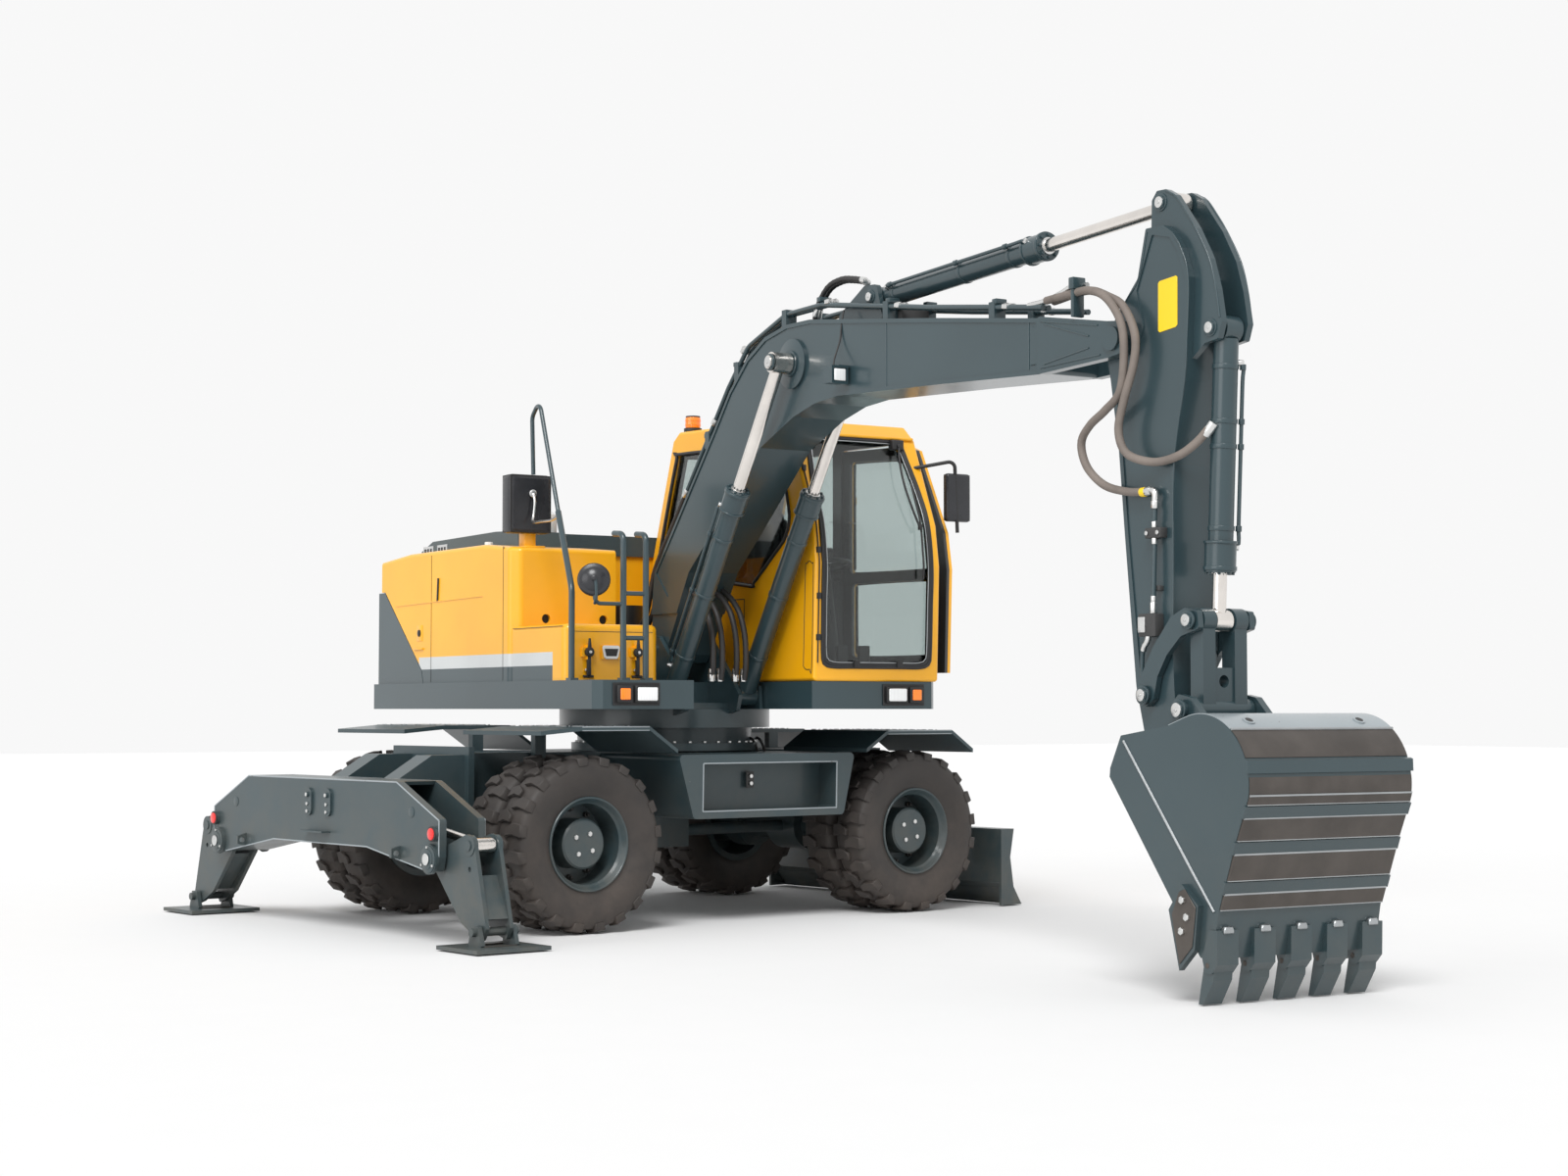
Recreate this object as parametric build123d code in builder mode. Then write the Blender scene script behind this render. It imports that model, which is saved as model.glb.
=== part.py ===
# Wheeled excavator, millimetres. The origin is on the ground under the slew centre,
# +X is forward along the boom, +Y is the cab's side and +Z is up.
# The undercarriage is drawn straight, in its own frame, and turned under the upper part when written.
import os
from math import cos, hypot, pi, sqrt

from build123d import *

os.makedirs("parts", exist_ok=True)

# Clearances between moving pieces
pin_clearance = 0.05
side_clearance = 6
seating_gap = 0.3

# Driving dimensions: undercarriage
wheelbase = 2600
tyre_diameter = 1060
tyre_width = 275
twin_spacing = 320
outer_tyre_y = 1112
rim_radius = 252
rim_wall = 12
rim_flange_radius = 282
rim_lip = 14
bead_width = 194
tread_width = 236
lug_depth = 28
lug_count = 16
lug_share = 0.4
shoulder_radius = 500
bulge_radius = 395
tyre_sides = 12
hub_radius = 150
hub_face_y = 1160
wheel_disc_y = 975
wheel_disc_thickness = 20
fixed_hub_start_y = 640
steered_hub_start_y = 800
spindle_radius = 70
spindle_overlap = 70
kingpin_y = 700
kingpin_radius = 32
knuckle_half_height = 120
fork_thickness = 45
axle_tube_radius = 105
axle_case_radius = 165
brake_radius = 165
frame_half_width = 340
frame_bottom_z = 700
frame_top_z = 1060
frame_rear_x = -1620
frame_front_x = 1760
pedestal_radius = 620
pedestal_top_z = 1110
slew_offset = 145
slew_turn = 97.2
ring_top_z = 1210
flange_half_width = 450
flange_top_z = 1100
flange_thickness = 40
stabiliser_arm_inner_y = 220
stabiliser_arm_outer_y = 400

# Driving dimensions: tool boxes and steps
toolbox_outer_y = 1200
toolbox_top_z = 1050
toolbox_bottom_z = 655
toolbox_top_x = (-630, 785)
toolbox_bottom_x = (-515, 690)
toolbox_recess = 170
toolbox_rim = 55
step_thickness = 25
step_outer_y = 1205
step_inner_y = frame_half_width + 10
step_rear_z = 1225
step_front_z = 1190

# Driving dimensions: stabiliser
beam_rear_x = -2430
beam_front_x = -2130
beam_plate = 22
beam_top_z = 915
beam_top_half = 915
beam_end_half = 1385
beam_end_z = 711
tie_down = (950, 508)
tie_down_radius = 17
leg_pivot = (1300, 490)
leg_cylinder_pin = (1600, 575)
pad_pin = (1715, 108)
leg_gap = 15
leg_plate = 24
leg_pin_radius = 32
pad_thickness = 22
pad_clearance = 8
stabiliser_base_pin = (330, 760)
stabiliser_barrel_radius = 48
stabiliser_barrel_length = 720
stabiliser_rod_radius = 27
stabiliser_rod_start = 545
eye_radius = 50

# Driving dimensions: blade
blade_half_width = 1250
blade_top_z = 520
blade_back_x = 2045
blade_clearance = 8
blade_pivot = (1620, 560)
blade_arm_y = (215, 300)
blade_cylinder_y = 120
blade_base_pin = (1815, 1010)
blade_rod_pin = (1960, 300)
blade_barrel_radius = 36
blade_barrel_length = 440
blade_rod_radius = 22
blade_rod_start = 255

# Driving dimensions: upper structure
deck_bottom_z = 1330
deck_top_z = 1505
deck_half_width = 1245
deck_front_x = 1390
tail_radius = 2350
body_half_width = 1200
notch_right_y = -573
notch_left_y = 280
notch_back_x = 420
upper_disc_radius = 700
slew_gap = 0.3
stripe_bottom_z = 1600
hood_top_z = 2375
hood_wall = 40
hood_corner = 45
hood_edge = 30
vent_radius = 30
grille_depth = 14
grille_slots = 9
hood_front_x = 160
hood_inner_y = -457
hood_rear_x = -2230
hood_back_front_x = -800
tank_top_z = 1855
tank_front_x = 900
tank_inner_y = -540
tank_latch_z = 1680
counterweight_top_z = 2150

lamp_z = 1420
lamp_y = (910, 1055)
lamp_radius = 50
beacon_place = (-290, 380)
rail_radius = 19
mirror_rail_radius = 14

# Driving dimensions: cab
cab_right_y = 290
cab_left_y = 1245
cab_wall = 50
cab_edge = 24
cab_floor_z = deck_top_z + seating_gap
glass_thickness = 8
door_gap = 8
door_ajar = 9
door_hinge = (318, 1268)
hinge_pin_radius = 9

# Driving dimensions: front, in the plane of the boom
boom_y = -90
boom_half_width = 180
plate_recess = 7
boom_foot = (375, 1715)
boom_foot_half_width = 168
boom_foot_narrow = 230
bracket_inner_y = 175
bracket_thickness = 28
boom_cylinder_y = 270
boom_cylinder_base = (740, 1420)
boom_cylinder_pin = (2035, 3385)
boom_barrel_radius = 62
boom_gland_radius = 75
boom_rod_radius = 38
boom_barrel_length = 1490
boom_rod_start = 600
arm_pivot = (5040, 3155)
arm_pivot_radius = 45
pin_head = 15
arm_half_width = 140
ear_half_width = 100
ear_inner_y = 66
arm_cylinder_base = (2746, 3695)
arm_cylinder_pin = (5292, 3799)
arm_barrel_radius = 60
arm_gland_radius = 74
arm_rod_radius = 36
arm_barrel_length = 1530
arm_rod_start = 890
bucket_cylinder_base = (5643, 3139)
link_pin = (5570, 1750)
rocker_pin = (5241, 1397)
bucket_link_pin = (5568, 1326)
bucket_pin = (5331, 1037)
bucket_barrel_radius = 60
bucket_gland_radius = 76
bucket_rod_radius = 35
bucket_barrel_length = 1160
bucket_rod_start = 225
rocker_y = (146, 178)
ear_y = (186, 226)
link_boss_radius = 54
bucket_half_width = 500
bucket_wall = 22
arm_notch_x = 5488
strip_depth = 16
tooth_count = 5
tooth_width = 110
tooth_clearance = 6

swing = Location((0, 0, 0), (0, 0, slew_turn)) * Location((-slew_offset, 0, 0))


def side_plane(y):
    """Vertical plane along the machine, drawn in X and Z, facing -Y."""
    return Plane(origin=(0, y, 0), x_dir=(1, 0, 0), z_dir=(0, -1, 0))


def outline(plane, points, corner=0):
    """Closed outline with rounded corners, as a face on the plane."""
    with BuildSketch(plane) as face:
        with BuildLine():
            if corner:
                FilletPolyline(*points, radius=corner, close=True)
            else:
                Polyline(*points, close=True)
        make_face()
    return face.sketch


def slab(points, y_from, y_to, corner=0, mode=Mode.ADD):
    """Side outline in X and Z, as thick as from one Y to the other."""
    high = max(y_from, y_to)
    extrude(outline(side_plane(high), points, corner), amount=abs(y_to - y_from), mode=mode)


def cross_slab(points, x_from, x_to, corner=0, mode=Mode.ADD):
    """Outline in Y and Z, as thick as from one X to the other."""
    low = min(x_from, x_to)
    extrude(outline(Plane.YZ.offset(low), points, corner), amount=abs(x_to - x_from), mode=mode)


def plan_slab(points, z_from, z_to, corner=0, mode=Mode.ADD):
    """Outline in X and Y, as high as from one Z to the other."""
    low = min(z_from, z_to)
    extrude(outline(Plane.XY.offset(low), points, corner), amount=abs(z_to - z_from), mode=mode)


def block(x, y, z, mode=Mode.ADD):
    """Box between pairs of coordinates."""
    with Locations(((x[0] + x[1]) / 2, (y[0] + y[1]) / 2, (z[0] + z[1]) / 2)):
        Box(abs(x[1] - x[0]), abs(y[1] - y[0]), abs(z[1] - z[0]), mode=mode)


def cross_pin(point, radius, y_from, y_to, mode=Mode.ADD):
    """Round bar along Y at a point given in X and Z."""
    with Locations((point[0], (y_from + y_to) / 2, point[1])):
        Cylinder(radius, abs(y_to - y_from), rotation=(90, 0, 0), mode=mode)


def long_pin(point, radius, x_from, x_to, mode=Mode.ADD):
    """Round bar along X at a point given in Y and Z."""
    with Locations(((x_from + x_to) / 2, point[0], point[1])):
        Cylinder(radius, abs(x_to - x_from), rotation=(0, 90, 0), mode=mode)


def bar(start, end, radius, mode=Mode.ADD):
    """Round bar between two points in space."""
    line = Vector(*end) - Vector(*start)
    with Locations(Plane(origin=start, z_dir=line)):
        Cylinder(radius, line.length, align=(Align.CENTER, Align.CENTER, Align.MIN), mode=mode)


def tube(points, radius, bend):
    """Round tube along straight runs joined by bends."""
    with BuildLine() as path:
        FilletPolyline(*points, radius=bend)
    with BuildSketch(Plane(origin=path.line @ 0, z_dir=path.line % 0)) as ring:
        Circle(radius)
    sweep(ring.sketch, path=path.line)


def along(start, end, distance):
    """Point at a distance from the first point towards the second, in the plane of both."""
    length = hypot(end[0] - start[0], end[1] - start[1])
    share = distance / length
    return (start[0] + (end[0] - start[0]) * share, start[1] + (end[1] - start[1]) * share)


def side_point(point, y):
    """Point in space from X and Z in a side view and a Y."""
    return (point[0], y, point[1])


def both_sides(y_from, y_to):
    """The two ranges of Y, low end first, at equal distances each side of the boom's middle."""
    return [(boom_y - y_to, boom_y - y_from), (boom_y + y_from, boom_y + y_to)]


# Chassis frame
pedestal_x = slew_offset
with BuildPart() as chassis_frame:
    block((frame_rear_x, frame_front_x), (-frame_half_width, frame_half_width), (frame_bottom_z, frame_top_z))
    with Locations((pedestal_x, 0, (frame_top_z + pedestal_top_z) / 2)):
        Cylinder(pedestal_radius, pedestal_top_z - frame_top_z)
    block(
        (frame_rear_x - flange_thickness, frame_rear_x),
        (-flange_half_width, flange_half_width),
        (frame_bottom_z - 60, flange_top_z),
    )
    for side in (-1, 1):
        arm_outline = [
            (frame_rear_x - flange_thickness, frame_top_z - 10),
            (frame_rear_x - 270, frame_top_z - 10),
            (beam_front_x, beam_top_z - 10),
            (beam_front_x, 560),
            (frame_rear_x - flange_thickness, frame_bottom_z - 60),
        ]
        slab(arm_outline, side * stabiliser_arm_inner_y, side * stabiliser_arm_outer_y)
        # Bracket plates that carry the blade arms and their cylinders
        bracket = [
            (blade_pivot[0] - 90, frame_bottom_z),
            (blade_pivot[0] - 60, blade_pivot[1] - 60),
            (blade_pivot[0] + 60, blade_pivot[1] - 60),
            (frame_front_x, frame_bottom_z),
        ]
        slab(bracket, side * (blade_arm_y[0] - 40), side * (blade_arm_y[0] - side_clearance))
        cylinder_ear = [
            (frame_front_x, frame_top_z),
            (blade_base_pin[0] + 45, blade_base_pin[1] + 50),
            (blade_base_pin[0] + 45, blade_base_pin[1] - 50),
            (frame_front_x, blade_base_pin[1] - 120),
        ]
        ear_gap = blade_barrel_radius + side_clearance
        for offset in (-ear_gap - 20, ear_gap):
            low = side * blade_cylinder_y + offset
            slab(cylinder_ear, low, low + 20)
        pin_reach = ear_gap + 20
        cross_pin(blade_base_pin, 25, side * blade_cylinder_y - pin_reach, side * blade_cylinder_y + pin_reach)
        cross_pin(blade_pivot, 35, side * (blade_arm_y[0] - 40), side * (blade_arm_y[1] + 12))
    # Lower half of the slew ring
    with Locations((pedestal_x, 0, (pedestal_top_z + ring_top_z) / 2)):
        Cylinder(pedestal_radius - 40, ring_top_z - pedestal_top_z)
chassis_frame.part.label = "chassis_frame"
export_step(chassis_frame.part.moved(swing), "parts/chassis_frame.step")

# Axles with gearbox and prop shafts: rigid at the blade, forked for steering at the stabiliser
wheel_z = tyre_diameter / 2
steered_x = -wheelbase / 2
fixed_x = wheelbase / 2
fork_low = wheel_z - knuckle_half_height - side_clearance - fork_thickness
fork_high = wheel_z + knuckle_half_height + side_clearance + fork_thickness
with BuildPart() as axles:
    for side in (-1, 1):
        hub_edge = fixed_hub_start_y - side_clearance
        cross_pin((fixed_x, wheel_z), axle_tube_radius, 0, side * (fixed_hub_start_y - 110))
        cross_pin((fixed_x, wheel_z), brake_radius, side * 470, side * hub_edge)
        spindle_end = fixed_hub_start_y + spindle_overlap
        cross_pin((fixed_x, wheel_z), spindle_radius, side * (hub_edge - 20), side * spindle_end)
        block((fixed_x - 90, fixed_x + 90), (side * 220, side * 330), (wheel_z, frame_bottom_z))
        fork_root = kingpin_y - 90
        cross_pin((steered_x, wheel_z), axle_tube_radius, 0, side * fork_root)
        fork_back = (side * (fork_root - 60), side * fork_root)
        fork_reach = (side * (fork_root - 60), side * (kingpin_y + 55))
        block((steered_x - 60, steered_x + 60), fork_back, (fork_low, fork_high))
        block((steered_x - 60, steered_x + 60), fork_reach, (fork_low, fork_low + fork_thickness))
        block((steered_x - 60, steered_x + 60), fork_reach, (fork_high - fork_thickness, fork_high))
        with Locations((steered_x, side * kingpin_y, wheel_z)):
            Cylinder(kingpin_radius, fork_high - fork_low)
    for x in (steered_x, fixed_x):
        cross_pin((x, wheel_z), axle_case_radius, -150, 150)
    block((steered_x - 110, steered_x + 110), (-100, 100), (wheel_z, frame_bottom_z))
    block((-150, 250), (-130, 130), (420, frame_bottom_z))
    bar((-100, 0, 520), (steered_x + 100, 0, wheel_z), 38)
    bar((200, 0, 520), (fixed_x - 100, 0, wheel_z), 38)
axles.part.label = "axles"
export_step(axles.part.moved(swing), "parts/axles.step")

# Steering knuckles
for name, side in (("right", -1), ("left", 1)):
    with BuildPart() as knuckle:
        hub_edge = steered_hub_start_y - side_clearance
        with Locations((steered_x, side * kingpin_y, wheel_z)):
            Cylinder(75, 2 * knuckle_half_height)
        cross_pin((steered_x, wheel_z), 95, side * kingpin_y, side * hub_edge)
        spindle_end = steered_hub_start_y + spindle_overlap
        cross_pin((steered_x, wheel_z), spindle_radius, side * kingpin_y, side * spindle_end)
        with Locations((steered_x, side * kingpin_y, wheel_z)):
            Cylinder(kingpin_radius + pin_clearance, 2 * knuckle_half_height, mode=Mode.SUBTRACT)
    knuckle.part.label = f"knuckle_{name}"
    export_step(knuckle.part.moved(swing), f"parts/knuckle_{name}.step")

# Twin wheels: both rims on one hub, and two tyres with staggered lugs on their two halves
tyre_centres = (outer_tyre_y - twin_spacing, outer_tyre_y)
barrel_low = tyre_centres[0] - bead_width / 2 - rim_wall
barrel_high = tyre_centres[1] + bead_width / 2 + rim_wall
tyre_radius = tyre_diameter / 2
tread_root = tyre_radius - lug_depth
bead_corner = (rim_flange_radius + seating_gap) / cos(pi / tyre_sides)


def lug_ring(plane, turn):
    """Toothed outline of one half of the tread, whose lugs end in flats at the tyre's radius."""
    pitch = 360 / lug_count
    lug_corner = tyre_radius / cos(pi / lug_count * lug_share)
    points = []
    for index in range(lug_count):
        middle = turn + index * pitch
        for radius, share in ((tread_root, -0.75), (lug_corner, -0.5), (lug_corner, 0.5), (tread_root, 0.75)):
            point = Vector(radius, 0).rotate(Axis.Z, middle + share * lug_share * pitch)
            points.append((point.X, point.Y))
    return outline(plane, points)


def many_sided(plane, radius):
    """Regular outline of the tyre's side wall or bore."""
    with BuildSketch(plane) as ring:
        RegularPolygon(radius, tyre_sides, rotation=180 / tyre_sides)
    return ring.sketch


wheel_places = (
    ("steered_right", steered_x, -1, steered_hub_start_y),
    ("steered_left", steered_x, 1, steered_hub_start_y),
    ("fixed_right", fixed_x, -1, fixed_hub_start_y),
    ("fixed_left", fixed_x, 1, fixed_hub_start_y),
)
for name, x, side, hub_start in wheel_places:
    # Profiles are drawn with local X out along the axle and local Y as the radius
    wheel_plane = Plane(origin=(x, 0, wheel_z), x_dir=(0, side, 0), z_dir=(side, 0, 0))
    axle_line = Axis((x, 0, wheel_z), (0, side, 0))
    barrel_inner = rim_radius - rim_wall
    rim_points = [
        (barrel_low, barrel_inner),
        (barrel_low, rim_flange_radius),
        (barrel_high - 4, rim_flange_radius),
        (barrel_high, rim_flange_radius - 4),
        (barrel_high, rim_flange_radius - rim_lip + 4),
        (barrel_high - 4, rim_flange_radius - rim_lip),
        (barrel_high - 2 * rim_lip, rim_radius),
        (barrel_high - 3 * rim_lip, barrel_inner),
        (wheel_disc_y + wheel_disc_thickness, barrel_inner),
        (wheel_disc_y + wheel_disc_thickness, hub_radius),
        (hub_face_y - 10, hub_radius),
        (hub_face_y, hub_radius - 12),
        (hub_face_y, 0),
        (hub_start + spindle_overlap + 5, 0),
        (hub_start + spindle_overlap + 5, spindle_radius + pin_clearance),
        (hub_start, spindle_radius + pin_clearance),
        (hub_start, hub_radius - 30),
        (hub_start + 60, hub_radius - 10),
        (wheel_disc_y, hub_radius),
        (wheel_disc_y, barrel_inner),
    ]
    with BuildPart() as rims:
        revolve(outline(wheel_plane, rim_points), axis=axle_line)
    rims.part.label = f"rims_{name}"
    export_step(rims.part.moved(swing), f"parts/rims_{name}.step")
    with BuildPart() as tyres:
        for centre in tyre_centres:
            for way in (-1, 1):
                middle = Plane(origin=(x, side * centre, wheel_z), x_dir=(0, 0, -1), z_dir=(0, way, 0))
                tread = middle.offset(tread_width / 2)
                wall = middle.offset(tyre_width / 2)
                bead = middle.offset(bead_width / 2)
                extrude(lug_ring(middle, 0 if way * side > 0 else 180 / lug_count), amount=tread_width / 2)
                loft([many_sided(tread, shoulder_radius), many_sided(wall, bulge_radius)], ruled=True)
                loft([many_sided(wall, bulge_radius), many_sided(bead, bead_corner)], ruled=True, mode=Mode.SUBTRACT)
            bore_plane = Plane(origin=(x, side * centre, wheel_z), x_dir=(0, 0, -1), z_dir=(0, 1, 0))
            bore_start = bore_plane.offset(-bead_width / 2)
            extrude(many_sided(bore_start, bead_corner), amount=bead_width, mode=Mode.SUBTRACT)
    tyres.part.label = f"tyres_{name}"
    export_step(tyres.part.moved(swing), f"parts/tyres_{name}.step")

# Tool boxes between the wheels, one each side, with a recessed front
with BuildPart() as toolboxes:
    for side in (-1, 1):
        box_outline = [
            (toolbox_top_x[0], toolbox_top_z),
            (toolbox_top_x[1], toolbox_top_z),
            (toolbox_bottom_x[1], toolbox_bottom_z),
            (toolbox_bottom_x[0], toolbox_bottom_z),
        ]
        recess = [
            (toolbox_top_x[0] + 190, toolbox_top_z - toolbox_rim),
            (toolbox_top_x[1] - 150, toolbox_top_z - toolbox_rim),
            (toolbox_bottom_x[1] - 60, toolbox_bottom_z + toolbox_rim - 10),
            (toolbox_bottom_x[0] + 70, toolbox_bottom_z + toolbox_rim - 10),
        ]
        slab(box_outline, side * frame_half_width, side * toolbox_outer_y, corner=30)
        slab(
            recess,
            side * (toolbox_outer_y - toolbox_recess),
            side * (toolbox_outer_y + 10),
            corner=20,
            mode=Mode.SUBTRACT,
        )
        latch_y = toolbox_outer_y - toolbox_recess
        block((10, 60), (side * latch_y, side * (latch_y + 25)), (840, 930))
toolboxes.part.label = "toolboxes"
export_step(toolboxes.part.moved(swing), "parts/toolboxes.step")

# Steps over the tyres, bent down at their ends
rear_step = [(-1640, step_rear_z - 25), (-1350, step_rear_z), (-850, step_rear_z), (-640, frame_top_z + 25)]
front_step = [(885, frame_top_z + 15), (1065, step_front_z), (1640, step_front_z), (1830, frame_top_z + 5)]
with BuildPart() as steps:
    for side in (-1, 1):
        for route in (rear_step, front_step):
            shape = route + [(point[0], point[1] - step_thickness) for point in reversed(route)]
            slab(shape, side * step_inner_y, side * step_outer_y)
            middle = (route[1][0] + route[2][0]) / 2
            block(
                (middle - 40, middle + 40),
                (side * frame_half_width, side * (step_inner_y + 40)),
                (frame_top_z - 60, route[1][1] - step_thickness),
            )
steps.part.label = "steps"
export_step(steps.part.moved(swing), "parts/steps.step")

# Stabiliser beam: two plates with top and bottom, and a window in each sloping end
beam_outline = [
    (-beam_top_half, beam_top_z),
    (beam_top_half, beam_top_z),
    (beam_end_half, beam_end_z),
    (beam_end_half, leg_pivot[1] + 10),
    (leg_pivot[0] + 60, leg_pivot[1] - 70),
    (leg_pivot[0] - 60, leg_pivot[1] - 70),
    (573, 525),
    (-573, 525),
    (-leg_pivot[0] + 60, leg_pivot[1] - 70),
    (-leg_pivot[0] - 60, leg_pivot[1] - 70),
    (-beam_end_half, leg_pivot[1] + 10),
    (-beam_end_half, beam_end_z),
]
leg_x = (beam_rear_x + beam_plate + 38, beam_front_x - beam_plate - 38)
leg_middle_x = (leg_x[0] + leg_x[1]) / 2
leg_room = (leg_x[0] - leg_gap, leg_x[1] + leg_gap)
with BuildPart() as stabiliser_beam:
    cross_slab(beam_outline, beam_rear_x, beam_front_x, corner=25)
    for side in (-1, 1):
        # The room for the leg and the cylinder inside
        room = [
            (side * 150, beam_top_z - beam_plate),
            (side * (beam_top_half - 8), beam_top_z - beam_plate),
            (side * (beam_top_half + 30), beam_top_z + 60),
            (side * (beam_end_half + 80), beam_end_z + 60),
            (side * (beam_end_half + 80), 380),
            (side * (leg_pivot[0] - 110), 380),
            (side * (leg_pivot[0] - 110), leg_pivot[1] - 5),
            (side * 573, 525 + beam_plate),
            (side * 150, 525 + beam_plate),
        ]
        cross_slab(room, leg_room[0], leg_room[1], mode=Mode.SUBTRACT)
        leg_pin_place = (side * leg_pivot[0], leg_pivot[1])
        long_pin(leg_pin_place, leg_pin_radius, beam_rear_x - 40, beam_front_x + 40)
        long_pin((side * stabiliser_base_pin[0], stabiliser_base_pin[1]), 25, beam_rear_x + 5, beam_front_x - 5)
        for end_x in (beam_rear_x, beam_front_x):
            out = -1 if end_x == beam_rear_x else 1
            long_pin((side * leg_pivot[0], leg_pivot[1]), 85, end_x, end_x + out * 22)
        long_pin((side * 1340, 632), 42, beam_rear_x - 25, beam_rear_x)
        # Tie-down lug at the plate's lower edge
        lug = [
            (beam_rear_x, tie_down[1] + 42),
            (beam_rear_x - 60, tie_down[1] + 25),
            (beam_rear_x - 60, tie_down[1] - 25),
            (beam_rear_x, tie_down[1] - 34),
        ]
        slab(lug, side * (tie_down[0] - 12), side * (tie_down[0] + 12))
        lug_bore = (beam_rear_x - 30, tie_down[1])
        bore_ends = (side * (tie_down[0] - 20), side * (tie_down[0] + 20))
        cross_pin(lug_bore, tie_down_radius, *bore_ends, mode=Mode.SUBTRACT)
        # Bolted strap beside the middle, and a hole towards the end
        strap = [(side * y, z) for y, z in ((75, 690), (160, 690), (160, 855), (75, 855))]
        cross_slab(strap, beam_rear_x - 14, beam_rear_x, corner=40)
        long_pin((side * 118, 815), 16, beam_rear_x - 24, beam_rear_x - 10)
        long_pin((side * 1080, 745), 20, beam_rear_x - 5, leg_room[0] + 5, mode=Mode.SUBTRACT)
        for y in (stabiliser_arm_inner_y + 40, stabiliser_arm_outer_y - 20):
            block((beam_front_x - 8, beam_front_x), (side * y - 9, side * y + 9), (600, beam_top_z - 30))
    block((beam_rear_x - 60, beam_rear_x), (-140, 140), (592, 602))
stabiliser_beam.part.label = "stabiliser_beam"
export_step(stabiliser_beam.part.moved(swing), "parts/stabiliser_beam.step")



def to_side(side, points):
    """Mirror an outline in Y and Z to the side that is built."""
    return [(side * y, z) for y, z in points]


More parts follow.
